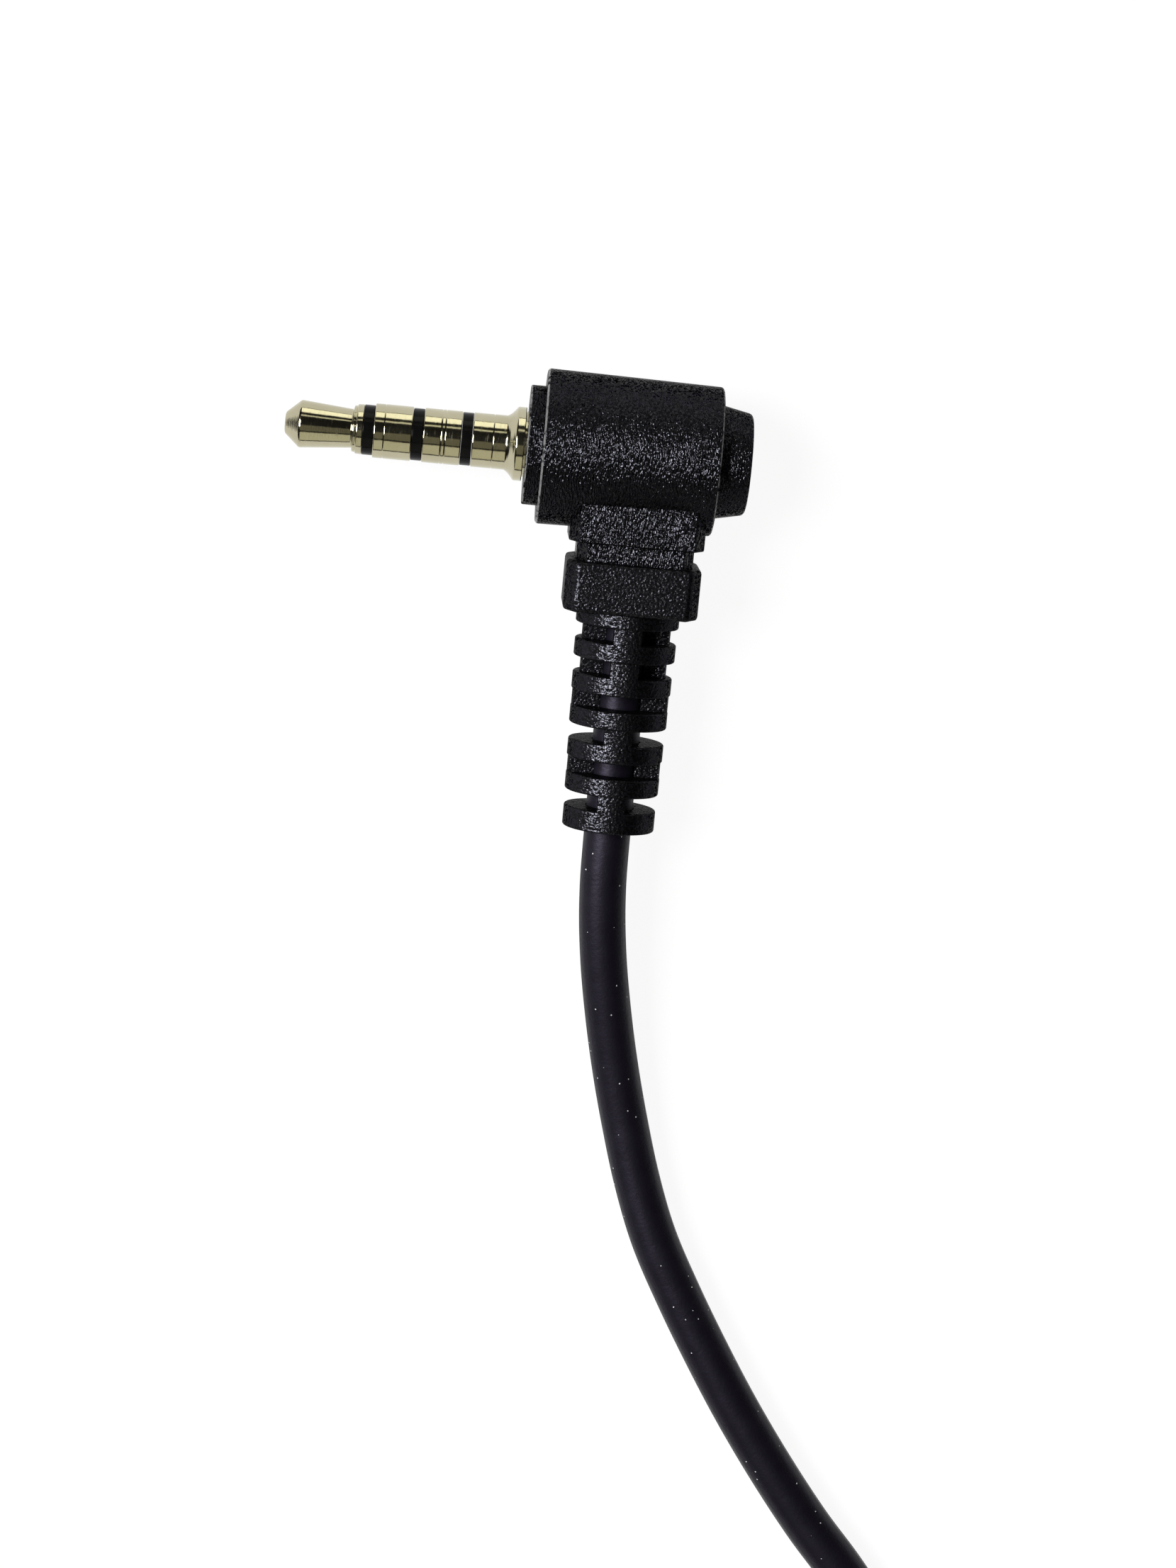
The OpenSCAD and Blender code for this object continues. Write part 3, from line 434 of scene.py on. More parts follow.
def as_piece(shape, node, slot, place=plug_frame, body="handset", skin=None, bend=None):
    """Makes a shape in millimetres the piece that stands for a CAD node, at its place. It
    rides on a body, or, when bend is given, keeps its place with no body: the bodies and points
    in bend are not read."""
    mesh, name = shape, node + "_dressed"
    if isinstance(shape, bmesh.types.BMesh):
        mesh = bpy.data.meshes.new(name)
        shape.to_mesh(mesh)
        shape.free()
    mesh.name = name
    mesh.transform(Matrix.Scale(MM, 4) @ place)
    shade_by_area(mesh)
    mesh.materials.clear()
    mesh.materials.append(skin or finishes[slot])
    piece = bpy.data.objects.new(name, mesh)
    bpy.context.scene.collection.objects.link(piece)
    if bend:
        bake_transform(piece)
    else:
        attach(piece, body)
    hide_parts(node)
    dressed[node] = piece
    print(name, len(mesh.polygons), "faces")


print("pieces can be finished")

# %% [markdown]
# ## Nickel and its insulators
#
# The contacts are turned brass with a bright nickel plate. Turning leaves hair-fine rings
# round the axis, so the relief varies along X only. The plate is slightly warm and it
# mirrors the room, which is why the light matters more than the colour here. The rings
# between the contacts are glossy black nylon, with a faint unevenness from the mould.

# %% Nickel and insulator finishes
def nickel_plate():
    plate = Finish("nickel_plate", Metallic=1.0)
    along = plate.mapped(scale=(1, 0.05, 0.05))
    turning = plate.noise(0.00005, detail=3, rough=0.7, at=along)
    patches = plate.noise(0.0009, detail=3)
    scratches = plate.noise(0.00016, detail=2, at=plate.mapped((1, 0.2, 0.2))).between(0.6, 0.75)
    colour = plate.mix(patches, (0.42, 0.39, 0.26, 1), (0.52, 0.49, 0.35, 1))
    return plate.drive(
        Base_Color=colour,
        Roughness=0.05 + turning * 0.08 + scratches * 0.12 + patches * 0.05,
        Normal=plate.bump(turning, 0.0000045, after=plate.bump(patches, 0.00001)))


def contact_insulator():
    ring = Finish("contact_insulator", Specular_IOR_Level=0.1, IOR=1.4)
    clouds = ring.noise(0.0004, detail=3)
    return ring.drive(Base_Color=ring.mix(clouds, grey(0.0015), grey(0.0035)),
                      Roughness=0.12 + clouds * 0.10,
                      Normal=ring.bump(ring.noise(0.00012), 0.000006))


for make in (nickel_plate, contact_insulator):
    print("made", make().name)

# %% [markdown]
# ## The contact stack
#
# Tip, two rings and a sleeve of 2.5 mm, with three insulators between them. The tip has a
# blunt nose, a long waist that the socket's spring drops into, and a flare behind it. Each
# ring is turned with a faint tool mark. All of them are spun profiles, as on the lathe, with
# a radius on each outer corner: those thin bright lines are what the eye takes for metal.

# %% Contacts
SLEEVE_BORE, RING_R, FLANGE_R, SLEEVE_TAIL_R = 1.0, 1.25, 1.7, 1.5
FLANGE_REAR, FLANGE_FRONT, SLEEVE_REAR, SLEEVE_FRONT = -0.1, -0.52, -0.95, -2.49
REAR_RING, FRONT_RING, TIP_REAR, NOSE = (-4.75, -3.0), (-7.01, -5.26), -7.52, -11.1


def marked(front, rear, radius, marks, depth=0.022, width=0.035):
    """Outline of a turned ring from front to rear, with fine grooves at the marks."""
    line = [(front, radius)]
    for share in marks:
        x = front + share * (rear - front)
        line += [(x - width, radius), (x, radius - depth), (x + width, radius)]
    return [*line, (rear, radius)]


tip_line = [(NOSE, 0), (NOSE, 0.47), (NOSE + 0.7, 1.1),  # the nose and its cone
            (NOSE + 3.08, 0.89), (NOSE + 3.14, 1.06),  # the waist and the flare behind it
            (NOSE + 3.26, 1.07), (NOSE + 3.3, 1.14), (TIP_REAR, 1.15),
            (TIP_REAR, 0.31), (TIP_REAR + 0.4, 0.31), (TIP_REAR + 0.4, 0)]  # the rod
tip_rounds = {1: 0.09, 2: 0.07, 3: 0.04, 4: 0.02, 6: 0.03, 7: 0.03}
as_piece(turned(tip_line, tip_rounds, steps=128), "tip_contact", "nickel_plate")
for node, (front, rear), marks in (("front_ring_contact", FRONT_RING, (0.27,)),
                                   ("rear_ring_contact", REAR_RING, (0.47, 0.58))):
    ring_line = marked(front, rear, RING_R, marks)
    rounds = {0: 0.05, len(ring_line) - 1: 0.05}
    ring_line += [(rear, SLEEVE_BORE), (front, SLEEVE_BORE)]
    as_piece(turned(ring_line, rounds, steps=128), node, "nickel_plate")
sleeve_line = [(SLEEVE_FRONT, SLEEVE_BORE), *marked(SLEEVE_FRONT, SLEEVE_REAR, RING_R, (0.62,)),
               (-0.80, 1.33), (-0.60, 1.55),  # the flared shoulder
               (FLANGE_FRONT, 1.66), (FLANGE_FRONT + 0.06, FLANGE_R), (FLANGE_REAR, FLANGE_R),
               (FLANGE_REAR, SLEEVE_TAIL_R), (0.6, SLEEVE_TAIL_R), (0.6, SLEEVE_BORE)]
sleeve_rounds = {1: 0.05, 6: 0.1, 7: 0.06, 9: 0.03, 10: 0.04}
as_piece(turned(sleeve_line, sleeve_rounds, steps=128), "sleeve_contact", "nickel_plate")

# %% Insulators
INSULATOR_GAP = 0.01  # between an insulator and the contact on either side
for node, front, rear, radius in (("front_insulator", TIP_REAR, FRONT_RING[0], 1.15),
                                  ("middle_insulator", FRONT_RING[1], REAR_RING[0], 1.2),
                                  ("rear_insulator", REAR_RING[1], SLEEVE_FRONT, 1.22)):
    front, rear = front + INSULATOR_GAP, rear - INSULATOR_GAP
    shape = turned([(front, SLEEVE_BORE), (front, radius), (rear, radius), (rear, SLEEVE_BORE)],
                   {1: 0.03, 2: 0.03})
    as_piece(shape, node, "contact_insulator")

# %% [markdown]
# ## Grained black plastic
# The plug's mould was spark-eroded, so its skin is a field of short, winding bumps a tenth
# of a millimetre apart. Two noises make it. The first is twisted by itself, so that it
# winds: it marks the polished crests, with dull and very dark plastic between them. The
# second tilts the surface, so that only the crests whose slope happens to face a lamp
# sparkle. A crest mirrors a small, even share of the light, and a metal with a very dark
# colour does just that. The soft bend relief has finer grain, drawn out into wrinkles, so
# the same recipe is used with another stretch. Round the collar and at both rims of the
# barrel a highlight is painted: thin broken pale lines where the rounded edges catch the
# lamp, drawn where X, along the plug, has the right value.

# %% Plug plastic finish
COLLAR_PROUD, BARREL_REAR = 0.7, 8.85  # the barrel's two ends, along the plug's axis
# Painted highlight: pale lines round the collar and both rims of the barrel stand for light
# caught by their rounded edges. Each is given by where it runs along the plug and half its
# width, in millimetres.
PAINTED_RIM_HIGHLIGHTS = ((0.04, 0.035), (COLLAR_PROUD + 0.06, 0.045), (BARREL_REAR - 0.05, 0.03))


def grained(name, stretch, slopes, size, depth, dull, painted_rims=()):
    """Crests about size metres across. stretch and slopes: how much finer each of the two
    noises runs along X, Y and Z. dull: the roughness between the crests. The last argument:
    where along the plug a painted highlight, a pale line round a rim, runs, and half its width,
    in millimetres."""
    skin = Finish(name, Specular_IOR_Level=0.2, IOR=1.4, Specular_Tint=grey(0.2))
    worms = skin.noise(size, detail=0.5, rough=0.45, twist=0.9, at=skin.mapped(stretch))
    hills = skin.noise(size * 1.3, detail=1, at=skin.mapped(slopes, (0, 0, 0.2)))
    crests = worms.between(0.43, 0.48)
    plastic = skin.mix(crests ** 3.0, grey(0.0025, 0.0007), grey(0.033, 0.006))
    colour, shine = skin.mix(skin.specks(0.0011, 0.020), plastic, grey(0.30)), crests
    if painted_rims:
        along, patchy = skin.axes()[0], skin.noise(0.0005).between(0.35, 0.5)
    # Painted highlight: each pale line is drawn into the colour, broken up by noise, and the
    # crests don't shine under it.
    for station, half in painted_rims:
        line = ((along - (PLUG_AT.x + station) * MM).math("ABSOLUTE") < half * MM) * patchy
        colour, shine = skin.mix(line, colour, grey(0.11)), shine * (1 - line)
    return skin.drive(Base_Color=colour, Metallic=shine,
                      Roughness=dull - crests * 0.3 + hills * 0.1,
                      Normal=skin.bump(hills, depth))


plug_skin = grained("plug_plastic", (1.15, 0.9, 0.9), (2.2, 0.7, 0.8), 0.00012, 0.00012, 0.44,
                    PAINTED_RIM_HIGHLIGHTS)
boot_skin = grained("boot_plastic", (0.8, 1.3, 0.8), (1.1, 1.3, 0.8), 0.00011, 0.00005, 0.56)
print("made", plug_skin.name, boot_skin.name)

# %% [markdown]
# ## Cutting and joining solids
#
# The neck and the bend relief are mouldings in which several simple solids meet. Each is
# made by itself, closed and with its own rounded edges, and an exact Boolean then unites
# them or cuts a bore. That leaves one clean skin with crisp inner corners, as a mould does.
# Solids that merely overlap would look much the same, but would hide walls inside.

# %% Boolean helper
def to_temp(bm, place=Matrix.Identity(4)):
    """A bmesh as an object that only lends its shape."""
    mesh = bpy.data.meshes.new("temp")
    bm.to_mesh(mesh)
    bm.free()
    mesh.transform(place)
    piece = bpy.data.objects.new("temp", mesh)
    bpy.context.scene.collection.objects.link(piece)
    return piece


def united(first, others, holes):
    """One mesh: first and the others joined, less the holes."""
    for operation, tools in (("UNION", others), ("DIFFERENCE", holes)):
        for tool in tools:
            step = first.modifiers.new("join", "BOOLEAN")
            step.operation, step.solver, step.object = operation, "EXACT", tool
    bpy.context.view_layer.update()
    graph = bpy.context.evaluated_depsgraph_get()
    mesh = bpy.data.meshes.new_from_object(first.evaluated_get(graph))
    for piece in (first, *others, *holes):
        bpy.data.objects.remove(piece)
    return mesh


def rod(radius, start, end, edge=0.0, steps=96):
    """A closed round bar along X with rounded ends."""
    rounds = {1: edge, 2: edge} if edge else None
    return turned([(start, 0), (start, radius), (end, radius), (end, 0)], rounds, steps)


down_neck = Matrix.Translation((NECK, 0, 0)) @ Matrix.Rotation(-math.pi / 2, 4, "Z")
print("Booleans are ready")

# %% [markdown]
# ## Barrel, neck, collar and cap
#
# The barrel is a short tube that narrows slightly to the rear. A square neck with long
# chamfers stands on its side, and a groove runs round it where the bend relief starts. In
# front the core's collar shows, and a tapered cap closes the rear. The round parts come off
# the lathe again. A neck block is a cube with bevelled edges. Its chamfers are longer down
# its sides than across its front, so it is bevelled evenly while stretched, and then
# squeezed back.

# %% Neck block
BLOCK_W, BLOCK_T, CHAMFER_X, CHAMFER_Z = 6.24, 5.4, 0.47, 1.0


def block(start, end, edge, inset=0.0):
    """A block along -Y at the neck. Its four long edges have uneven chamfers."""
    squeeze = CHAMFER_X / CHAMFER_Z
    width, depth = BLOCK_W - 2 * inset, BLOCK_T - 2 * inset
    bm = bmesh.new()
    bmesh.ops.create_cube(bm, size=1)
    bmesh.ops.scale(bm, vec=(width / squeeze, end - start, depth), verts=bm.verts)
    long_edges = [e for e in bm.edges if abs(e.verts[0].co.y - e.verts[1].co.y) > 0.1]
    bmesh.ops.bevel(bm, geom=long_edges, offset=CHAMFER_Z, offset_type="OFFSET", segments=1,
                    profile=0.5, affect="EDGES", material=-1)
    bmesh.ops.scale(bm, vec=(squeeze, 1, 1), verts=bm.verts)
    bmesh.ops.bevel(bm, geom=bm.edges[:], offset=edge, offset_type="OFFSET", segments=3,
                    profile=0.5, affect="EDGES", material=-1)
    bmesh.ops.translate(bm, vec=(NECK, -(start + end) / 2, 0), verts=bm.verts)
    return bm


print("a neck block is", BLOCK_W, "by", BLOCK_T, "mm")

# %% Barrel
UPPER_END, GROOVE_END, LOWER_END, GROOVE_DEPTH = 4.05, 4.9, 7.25, 0.42
CORE_R, BARREL_FRONT_R, BARREL_REAR_R, WALL_R = 2.75, 3.575, 3.44, 2.76
SHEATH_PLAY = 0.07  # round the sheath in the barrel's neck
barrel_line = [(COLLAR_PROUD, WALL_R), (COLLAR_PROUD, BARREL_FRONT_R),
               (BARREL_REAR, BARREL_REAR_R), (BARREL_REAR, WALL_R)]
barrel = to_temp(turned(barrel_line, {1: 0.16, 2: 0.16}, steps=160))
neck_parts = [to_temp(block(0.5, UPPER_END, 0.09)),
              to_temp(block(UPPER_END - 0.5, GROOVE_END + 0.2, 0.05, GROOVE_DEPTH))]
bores = [to_temp(rod(CORE_R, -1, 10)), to_temp(rod(CORD_R + SHEATH_PLAY, 0, 9), down_neck)]
as_piece(united(barrel, neck_parts, bores), "barrel_jacket", "plug_plastic")

# %% Collar and cap
CORE_BORE, CORE_END = 1.51, 3
CAP_FRONT, CAP_REAR, CAP_PLUG_R, BOSS_R, BOSS_END_R = 7.6, 10.3, 2.74, 2.625, 2.325
core = turned([(0, CORE_BORE), (0, CORE_R), (CORE_END, CORE_R), (CORE_END, CORE_BORE)],
              {0: 0.05, 1: 0.07}, steps=128)
as_piece(core, "plug_core", "plug_plastic")
cap = turned([(CAP_FRONT, 0), (CAP_FRONT, CAP_PLUG_R), (BARREL_REAR, CAP_PLUG_R),
              (BARREL_REAR, BOSS_R), (CAP_REAR, BOSS_END_R), (CAP_REAR, 0)], {4: 0.2}, steps=128)
as_piece(cap, "rear_cap", "plug_plastic")

# %% [markdown]
# ## The slotted bend relief
#
# Below the neck sits a soft moulding: a block, then seven rings joined by webs. In the first
# two gaps webs stand on all four sides. Further down they turn by a quarter from gap to gap,
# so that the cord can bend any way but never kink. Each ring is a short bar with soft edges,
# and a web is the slab that two parallel cuts leave of a bar. The slots could also be cut
# out of one long cone, but then each would need its own cutter, and the rings' edges would
# stay sharp.

# %% Rings of the bend relief
RING_FIRST, RING_PITCH, RING_LENGTH, LAST_START = 7.46, 1.57, 0.85, 16.455
RINGS = 6  # before the last one, which is longer
FIRST_RING_D, LAST_RING_D = 4.8, 4.3
ON_PLANE = 1e-6  # points this near a cutting plane, in millimetres, count as on it


def ring_radius(k):
    return (FIRST_RING_D + (LAST_RING_D - FIRST_RING_D) * k / RINGS) / 2


def ring_start(k):
    return RING_FIRST + k * RING_PITCH - RING_LENGTH / 2 if k < RINGS else LAST_START


def ring_end(k):
    return ring_start(k) + RING_LENGTH if k < RINGS else RELIEF_END


def slab(radius, start, end, half_width, across):
    """What is left of a bar between two parallel cuts, on either side of its axis."""
    bm = rod(radius, start, end, steps=64)
    for side in (-1, 1):
        cut = bmesh.ops.bisect_plane(
            bm, geom=bm.verts[:] + bm.edges[:] + bm.faces[:], dist=ON_PLANE,
            plane_co=across * side * half_width, plane_no=across * side, clear_outer=True)
        rim = [e for e in cut["geom_cut"] if isinstance(e, bmesh.types.BMEdge)]
        bmesh.ops.contextual_create(bm, geom=rim)
    bmesh.ops.recalc_face_normals(bm, faces=bm.faces)
    return bm


rings = [to_temp(rod(ring_radius(k), ring_start(k), ring_end(k), edge=0.09), down_neck)
         for k in range(RINGS + 1)]
print("rings of the bend relief:", len(rings))

# %% Webs between the rings, and the whole bend relief
ACROSS_Y, ACROSS_Z = Vector((0, 1, 0)), Vector((0, 0, 1))
HALF_WEB, REACH_IN = 0.64, 0.2  # half a web's width, and how far it runs into the rings
BELOW_RIM, DEEP_BELOW_RIM = 0.02, 0.3  # how far the webs stand back from the next ring's rim
FRONT_GAPS, SIDE_GAPS, CLOSE_GAPS = (0, 1, 3, 5), (0, 1, 2, 4), (0, 1)  # where webs stand
webs = []
for k in range(RINGS):
    start, end = ring_start(k) + RING_LENGTH - REACH_IN, ring_start(k + 1) + REACH_IN
    radius = ring_radius(k + 1)
    if k in FRONT_GAPS:
        webs.append(to_temp(slab(radius - BELOW_RIM, start, end, HALF_WEB, ACROSS_Y), down_neck))
    if k in SIDE_GAPS:
        inset = DEEP_BELOW_RIM if k in CLOSE_GAPS else BELOW_RIM
        webs.append(to_temp(slab(radius - inset, start, end, HALF_WEB, ACROSS_Z), down_neck))
CORD_PLAY, SPIGOT_R, SPIGOT_END = 0.03, 1.91, GROOVE_END + 1.51  # the barrel's spigot goes in
relief_bores = [to_temp(rod(CORD_R + CORD_PLAY, 0, 20, steps=64), down_neck),
                to_temp(rod(SPIGOT_R, 0, SPIGOT_END, steps=64), down_neck)]
lower_block = to_temp(block(GROOVE_END, LOWER_END, 0.2))
as_piece(united(lower_block, rings + webs, relief_bores), "strain_relief_boot",
         "plug_plastic", skin=boot_skin)

# %% [markdown]
# ## Handset plastics and rubber
#
# The handset is matte black ABS from a spark-eroded mould: a fine even grain, a little
# smoother where fingers rub it. The button is satin, with faint rings from the lathe that
# cut its mould, and its middle is polished by use. Each finish steers colour, roughness and
# relief from the same masks, because a rubbed spot changes all three at once.

# %% Case and button finishes
BUTTON_Y = 0.016  # where the button's centre stands
MOULD_PITCH = 0.00022  # from one turned ring on the button to the next


def case_plastic():
    skin = Finish("case_plastic", Specular_IOR_Level=0.45)
    grain = skin.noise(0.00022, detail=3, rough=0.6)
    blotches = skin.noise(0.006, detail=3)
    dust = skin.specks(0.0016, 0.018)
    tone = skin.mix(blotches, (0.0105, 0.0105, 0.0115, 1), (0.0170, 0.0170, 0.0185, 1))
    rubbed = blotches.between(0.45, 0.75)
    return skin.drive(Base_Color=skin.mix(dust, tone, grey(0.22)),
                      Roughness=0.52 - rubbed * 0.12 + grain * 0.1,
                      Normal=skin.bump(grain, 0.00005))


def button_plastic():
    skin = Finish("button_plastic", Specular_IOR_Level=0.5)
    place = skin.node("ShaderNodeMapping", Vector=skin.place, Location=(0, -BUTTON_Y, 0),
                      Scale=(1, 1, 0))
    radius = skin.node("ShaderNodeVectorMath", {"operation": "LENGTH"}, output=1, _0=place)
    rings = (radius * (2 * math.pi / MOULD_PITCH)).math("SINE") * 0.5 + 0.5
    fine = skin.noise(0.00012, detail=3, rough=0.6)
    worn = 1 - (radius + skin.noise(0.002, detail=2) * 0.002).between(0.0012, 0.0058)
    tone = skin.mix(worn, (0.034, 0.034, 0.037, 1), (0.052, 0.052, 0.055, 1))
    return skin.drive(Base_Color=tone, Roughness=0.46 - worn * 0.18 + fine * 0.08,
                      Normal=skin.bump(rings * 0.25 + fine * 0.6, 0.000012))


for make in (case_plastic, button_plastic):
    print("made", make().name)

# %% [markdown]
# ## Slide, rubber and tape
#
# The slide is a lighter grey, so that it can be found by eye, and holds a little grime. The
# bend relief is rubber, duller than the rest and clouded where its wax blooms. The tie is
# woven nylon tape. Its threads are two sine waves that cross: their product rises and falls
# like the over and under of a plain weave, and costs less than a real one in the mesh.

# %% Slide, rubber and tape finishes
THREAD = 0.00042  # from one thread of the tape to the next


def slide_plastic():
    skin = Finish("slide_plastic", Specular_IOR_Level=0.5)
    grain = skin.noise(0.00018, detail=3, rough=0.6)
    grime = skin.noise(0.0011, detail=4)
    tone = skin.mix(grime.between(0.45, 0.8), (0.27, 0.275, 0.29, 1), (0.17, 0.17, 0.175, 1))
    return skin.drive(Base_Color=tone, Roughness=0.38 + grain * 0.12,
                      Normal=skin.bump(grain, 0.00003))


def gland_rubber():
    skin = Finish("gland_rubber", Specular_IOR_Level=0.35)
    grain = skin.noise(0.0003, detail=4, rough=0.65)
    bloom = skin.noise(0.0025, detail=3).between(0.5, 0.8)
    tone = skin.mix(bloom, (0.0085, 0.0085, 0.0090, 1), (0.0180, 0.0180, 0.0190, 1))
    return skin.drive(Base_Color=tone, Roughness=0.6 + bloom * 0.12 + grain * 0.1,
                      Normal=skin.bump(grain, 0.00004))


def tie_strap():
    """Nylon tape: threads run along it and across it, over and under each other."""
    tape = Finish("tie_strap", Specular_IOR_Level=0.3, Sheen_Weight=0.3, Sheen_Roughness=0.5)
    x, y, z = tape.axes()
    turns = 2 * math.pi / THREAD
    across = (x * turns).math("SINE")
    along = ((y + z) * turns).math("SINE")
    weave = (across * along) * 0.5 + 0.5
    fuzz = tape.noise(0.00009, detail=3, rough=0.7)
    tone = tape.mix(weave, (0.0060, 0.0060, 0.0070, 1), (0.0210, 0.0210, 0.0235, 1))
    return tape.drive(Base_Color=tone, Roughness=0.72 + fuzz * 0.15,
                      Normal=tape.bump(weave * 0.8 + fuzz * 0.4, 0.00007))


for make in (slide_plastic, gland_rubber, tie_strap):
    print("made", make().name)

# %% [markdown]
# ## Softened CAD shapes
#
# The handset's CAD solids have the right sizes but knife-sharp edges, and a real moulding
# never has those: its edges catch a thin line of light. A copy of the CAD mesh is merged,
# flat triangles are dissolved into whole faces, and every sharp edge gets a small bevel.
# Where the two case halves meet, their bevels leave the fine groove of a real parting line.

# %% Softening a copy of a CAD node
CAD_MERGE = 0.002  # millimetres: the CAD mesh's own points lie further apart
FLAT = math.radians(0.5)  # faces that meet at less than this are one
EDGE = math.radians(40)  # and at more than this they meet at an edge


def merged_copy(node):
    """A CAD node's mesh in millimetres, with its loose triangles joined into whole faces."""
    bm = bmesh.new()
    bm.from_mesh(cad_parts[node].data)
    bmesh.ops.scale(bm, vec=Vector((1, 1, 1)) / MM, verts=bm.verts)
    bmesh.ops.remove_doubles(bm, verts=bm.verts, dist=CAD_MERGE)
    bmesh.ops.dissolve_limit(bm, angle_limit=FLAT, verts=bm.verts, edges=bm.edges)
    return bm


def softened(node, slot, edge, body="handset", segments=2):
    """Stands a copy of a CAD node, with edges edge millimetres round, in for the node."""
    bm = merged_copy(node)
    edges = [e for e in bm.edges if e.is_manifold and e.calc_face_angle() > EDGE]
    bmesh.ops.bevel(bm, geom=edges, offset=edge, offset_type="OFFSET", segments=segments,
                    profile=0.5, affect="EDGES", material=-1, clamp_overlap=True)
    bmesh.ops.triangulate(bm, faces=[f for f in bm.faces if len(f.verts) > 4])
    print(node, "bevelled edges:", len(edges))
    as_piece(bm, node, slot, Matrix.Identity(4), body)


softened("upper_shell", "case_plastic", 0.16)
softened("lower_shell", "case_plastic", 0.16)
softened("shutter_button", "button_plastic", 0.28, "button", segments=4)
softened("hold_slider", "slide_plastic", 0.14, "slide", segments=3)
softened("handset_gland", "gland_rubber", 0.10)
softened("coil_tie", "tie_strap", 0.08)

# %% [markdown]
# ## Inside the handset and the plug
#
# These pieces only show when the case is taken apart, but each gets the finish of its real
# material. First the metals: rolled brass leaves, with fine lines along the way they were
# rolled, zinc-plated screws and bare twisted copper. A metal's colour is its reflection, so
# stains change it between two tones and dull it in the same places.

# %% Metals inside
STRANDS = 1800.0  # how often the bands of the twisted strands repeat in a metre


def spring_brass():
    strip = Finish("spring_brass", Metallic=1.0)
    rolled = strip.noise(0.00012, detail=4, rough=0.7, at=strip.mapped((1, 0.03, 1)))
    stain = strip.noise(0.0014, detail=3).between(0.4, 0.8)
    tone = strip.mix(stain, (0.72, 0.52, 0.22, 1), (0.50, 0.33, 0.15, 1))
    return strip.drive(Base_Color=tone, Roughness=0.2 + rolled * 0.15 + stain * 0.15,
                       Normal=strip.bump(rolled, 0.000006))


def screw_steel():
    steel = Finish("screw_steel", Metallic=1.0)
    spots = steel.noise(0.0004, detail=4)
    fine = steel.noise(0.00008, detail=3, rough=0.7)
    tone = steel.mix(spots, (0.42, 0.43, 0.45, 1), (0.58, 0.58, 0.58, 1))
    return steel.drive(Base_Color=tone, Roughness=0.24 + spots * 0.16,
                       Normal=steel.bump(fine, 0.000008))


def wire_copper():
    """Twisted strands: slanting bands that run along the wire."""
    bare = Finish("wire_copper", Metallic=1.0)
    slanted = bare.mapped((1, 1, 1), (0.5, 0.4, 0.5))
    strands = bare.node("ShaderNodeTexWave", output="Fac", Vector=slanted, Scale=STRANDS,
                        Distortion=0.6)
    stain = bare.noise(0.0008, detail=3)
    tone = bare.mix(stain, (0.80, 0.42, 0.26, 1), (0.55, 0.27, 0.16, 1))
    return bare.drive(Base_Color=tone, Roughness=0.24 + stain * 0.16,
                      Normal=bare.bump(strands, 0.00003))


for make in (spring_brass, screw_steel, wire_copper):
    print("made", make().name)

# %% [markdown]
# ## Board, resistors, mouldings and wires
#
# The board is woven glass fibre under green lacquer: crossed sine waves again, with a clear
# coat on top. The resistors are black ceramic chips with tinned ends. Colour and metal
# switch together where X passes the end of the black part, which is simpler than splitting
# each chip into three faces. The wires share one recipe and differ only in colour.

# %% Board, resistors, wires and inner mouldings
BOARD_WEAVE = 9000.0  # radians per metre: a thread every 0.7 mm
CHIP_MIDDLE, CHIP_BLACK = 0.0056, 0.00068  # the chips' centre on X, and half their black part


def board_laminate():
    board = Finish("board_laminate", Coat_Weight=0.6, Coat_Roughness=0.12)
    x, y = board.axes()[:2]
    weave = (x * BOARD_WEAVE).math("SINE") * (y * BOARD_WEAVE).math("SINE") * 0.5 + 0.5
    cloud = board.noise(0.004, detail=2)
    tone = board.mix(weave, (0.006, 0.075, 0.030, 1), (0.010, 0.110, 0.045, 1))
    return board.drive(Base_Color=tone, Roughness=0.30 + cloud * 0.12,
                       Normal=board.bump(weave, 0.000012))


def resistor_body():
    """Black ceramic with tinned ends, told by how far they are from the chip's middle."""
    chip = Finish("resistor_body")
    ends = (chip.axes()[0] - CHIP_MIDDLE).math("ABSOLUTE") > CHIP_BLACK
    grain = chip.noise(0.00008, detail=3)
    return chip.drive(Base_Color=chip.mix(ends, grey(0.012), (0.62, 0.62, 0.60, 1)),
                      Metallic=ends, Roughness=0.30 + grain * 0.2,
                      Normal=chip.bump(grain, 0.000012))


def wire_jacket(name, dark, light):
    jacket = Finish(name, Specular_IOR_Level=0.5)
    shade = jacket.noise(0.0012, detail=3)
    dimples = jacket.noise(0.00025, detail=2)
    return jacket.drive(Base_Color=jacket.mix(shade, dark, light), Roughness=0.30 + shade * 0.14,
                        Normal=jacket.bump(dimples, 0.00001))


def inner_plastic():
    part = Finish("inner_plastic", Specular_IOR_Level=0.4)
    flow = part.noise(0.0015, detail=3, at=part.mapped((1, 0.3, 1)))
    grain = part.noise(0.00015, detail=3)
    return part.drive(Base_Color=part.mix(flow, grey(0.010), grey(0.022)),
                      Roughness=0.42 + grain * 0.16, Normal=part.bump(grain, 0.00002))


for make in (board_laminate, resistor_body, inner_plastic):
    print("made", make().name)
wire_jacket("wire_red", (0.36, 0.012, 0.010, 1), (0.48, 0.022, 0.016, 1))
wire_jacket("wire_white", (0.62, 0.61, 0.57, 1), (0.74, 0.73, 0.69, 1))
wire_jacket("wire_green", (0.012, 0.15, 0.045, 1), (0.020, 0.21, 0.065, 1))
softened("case_screws", "screw_steel", 0.05)

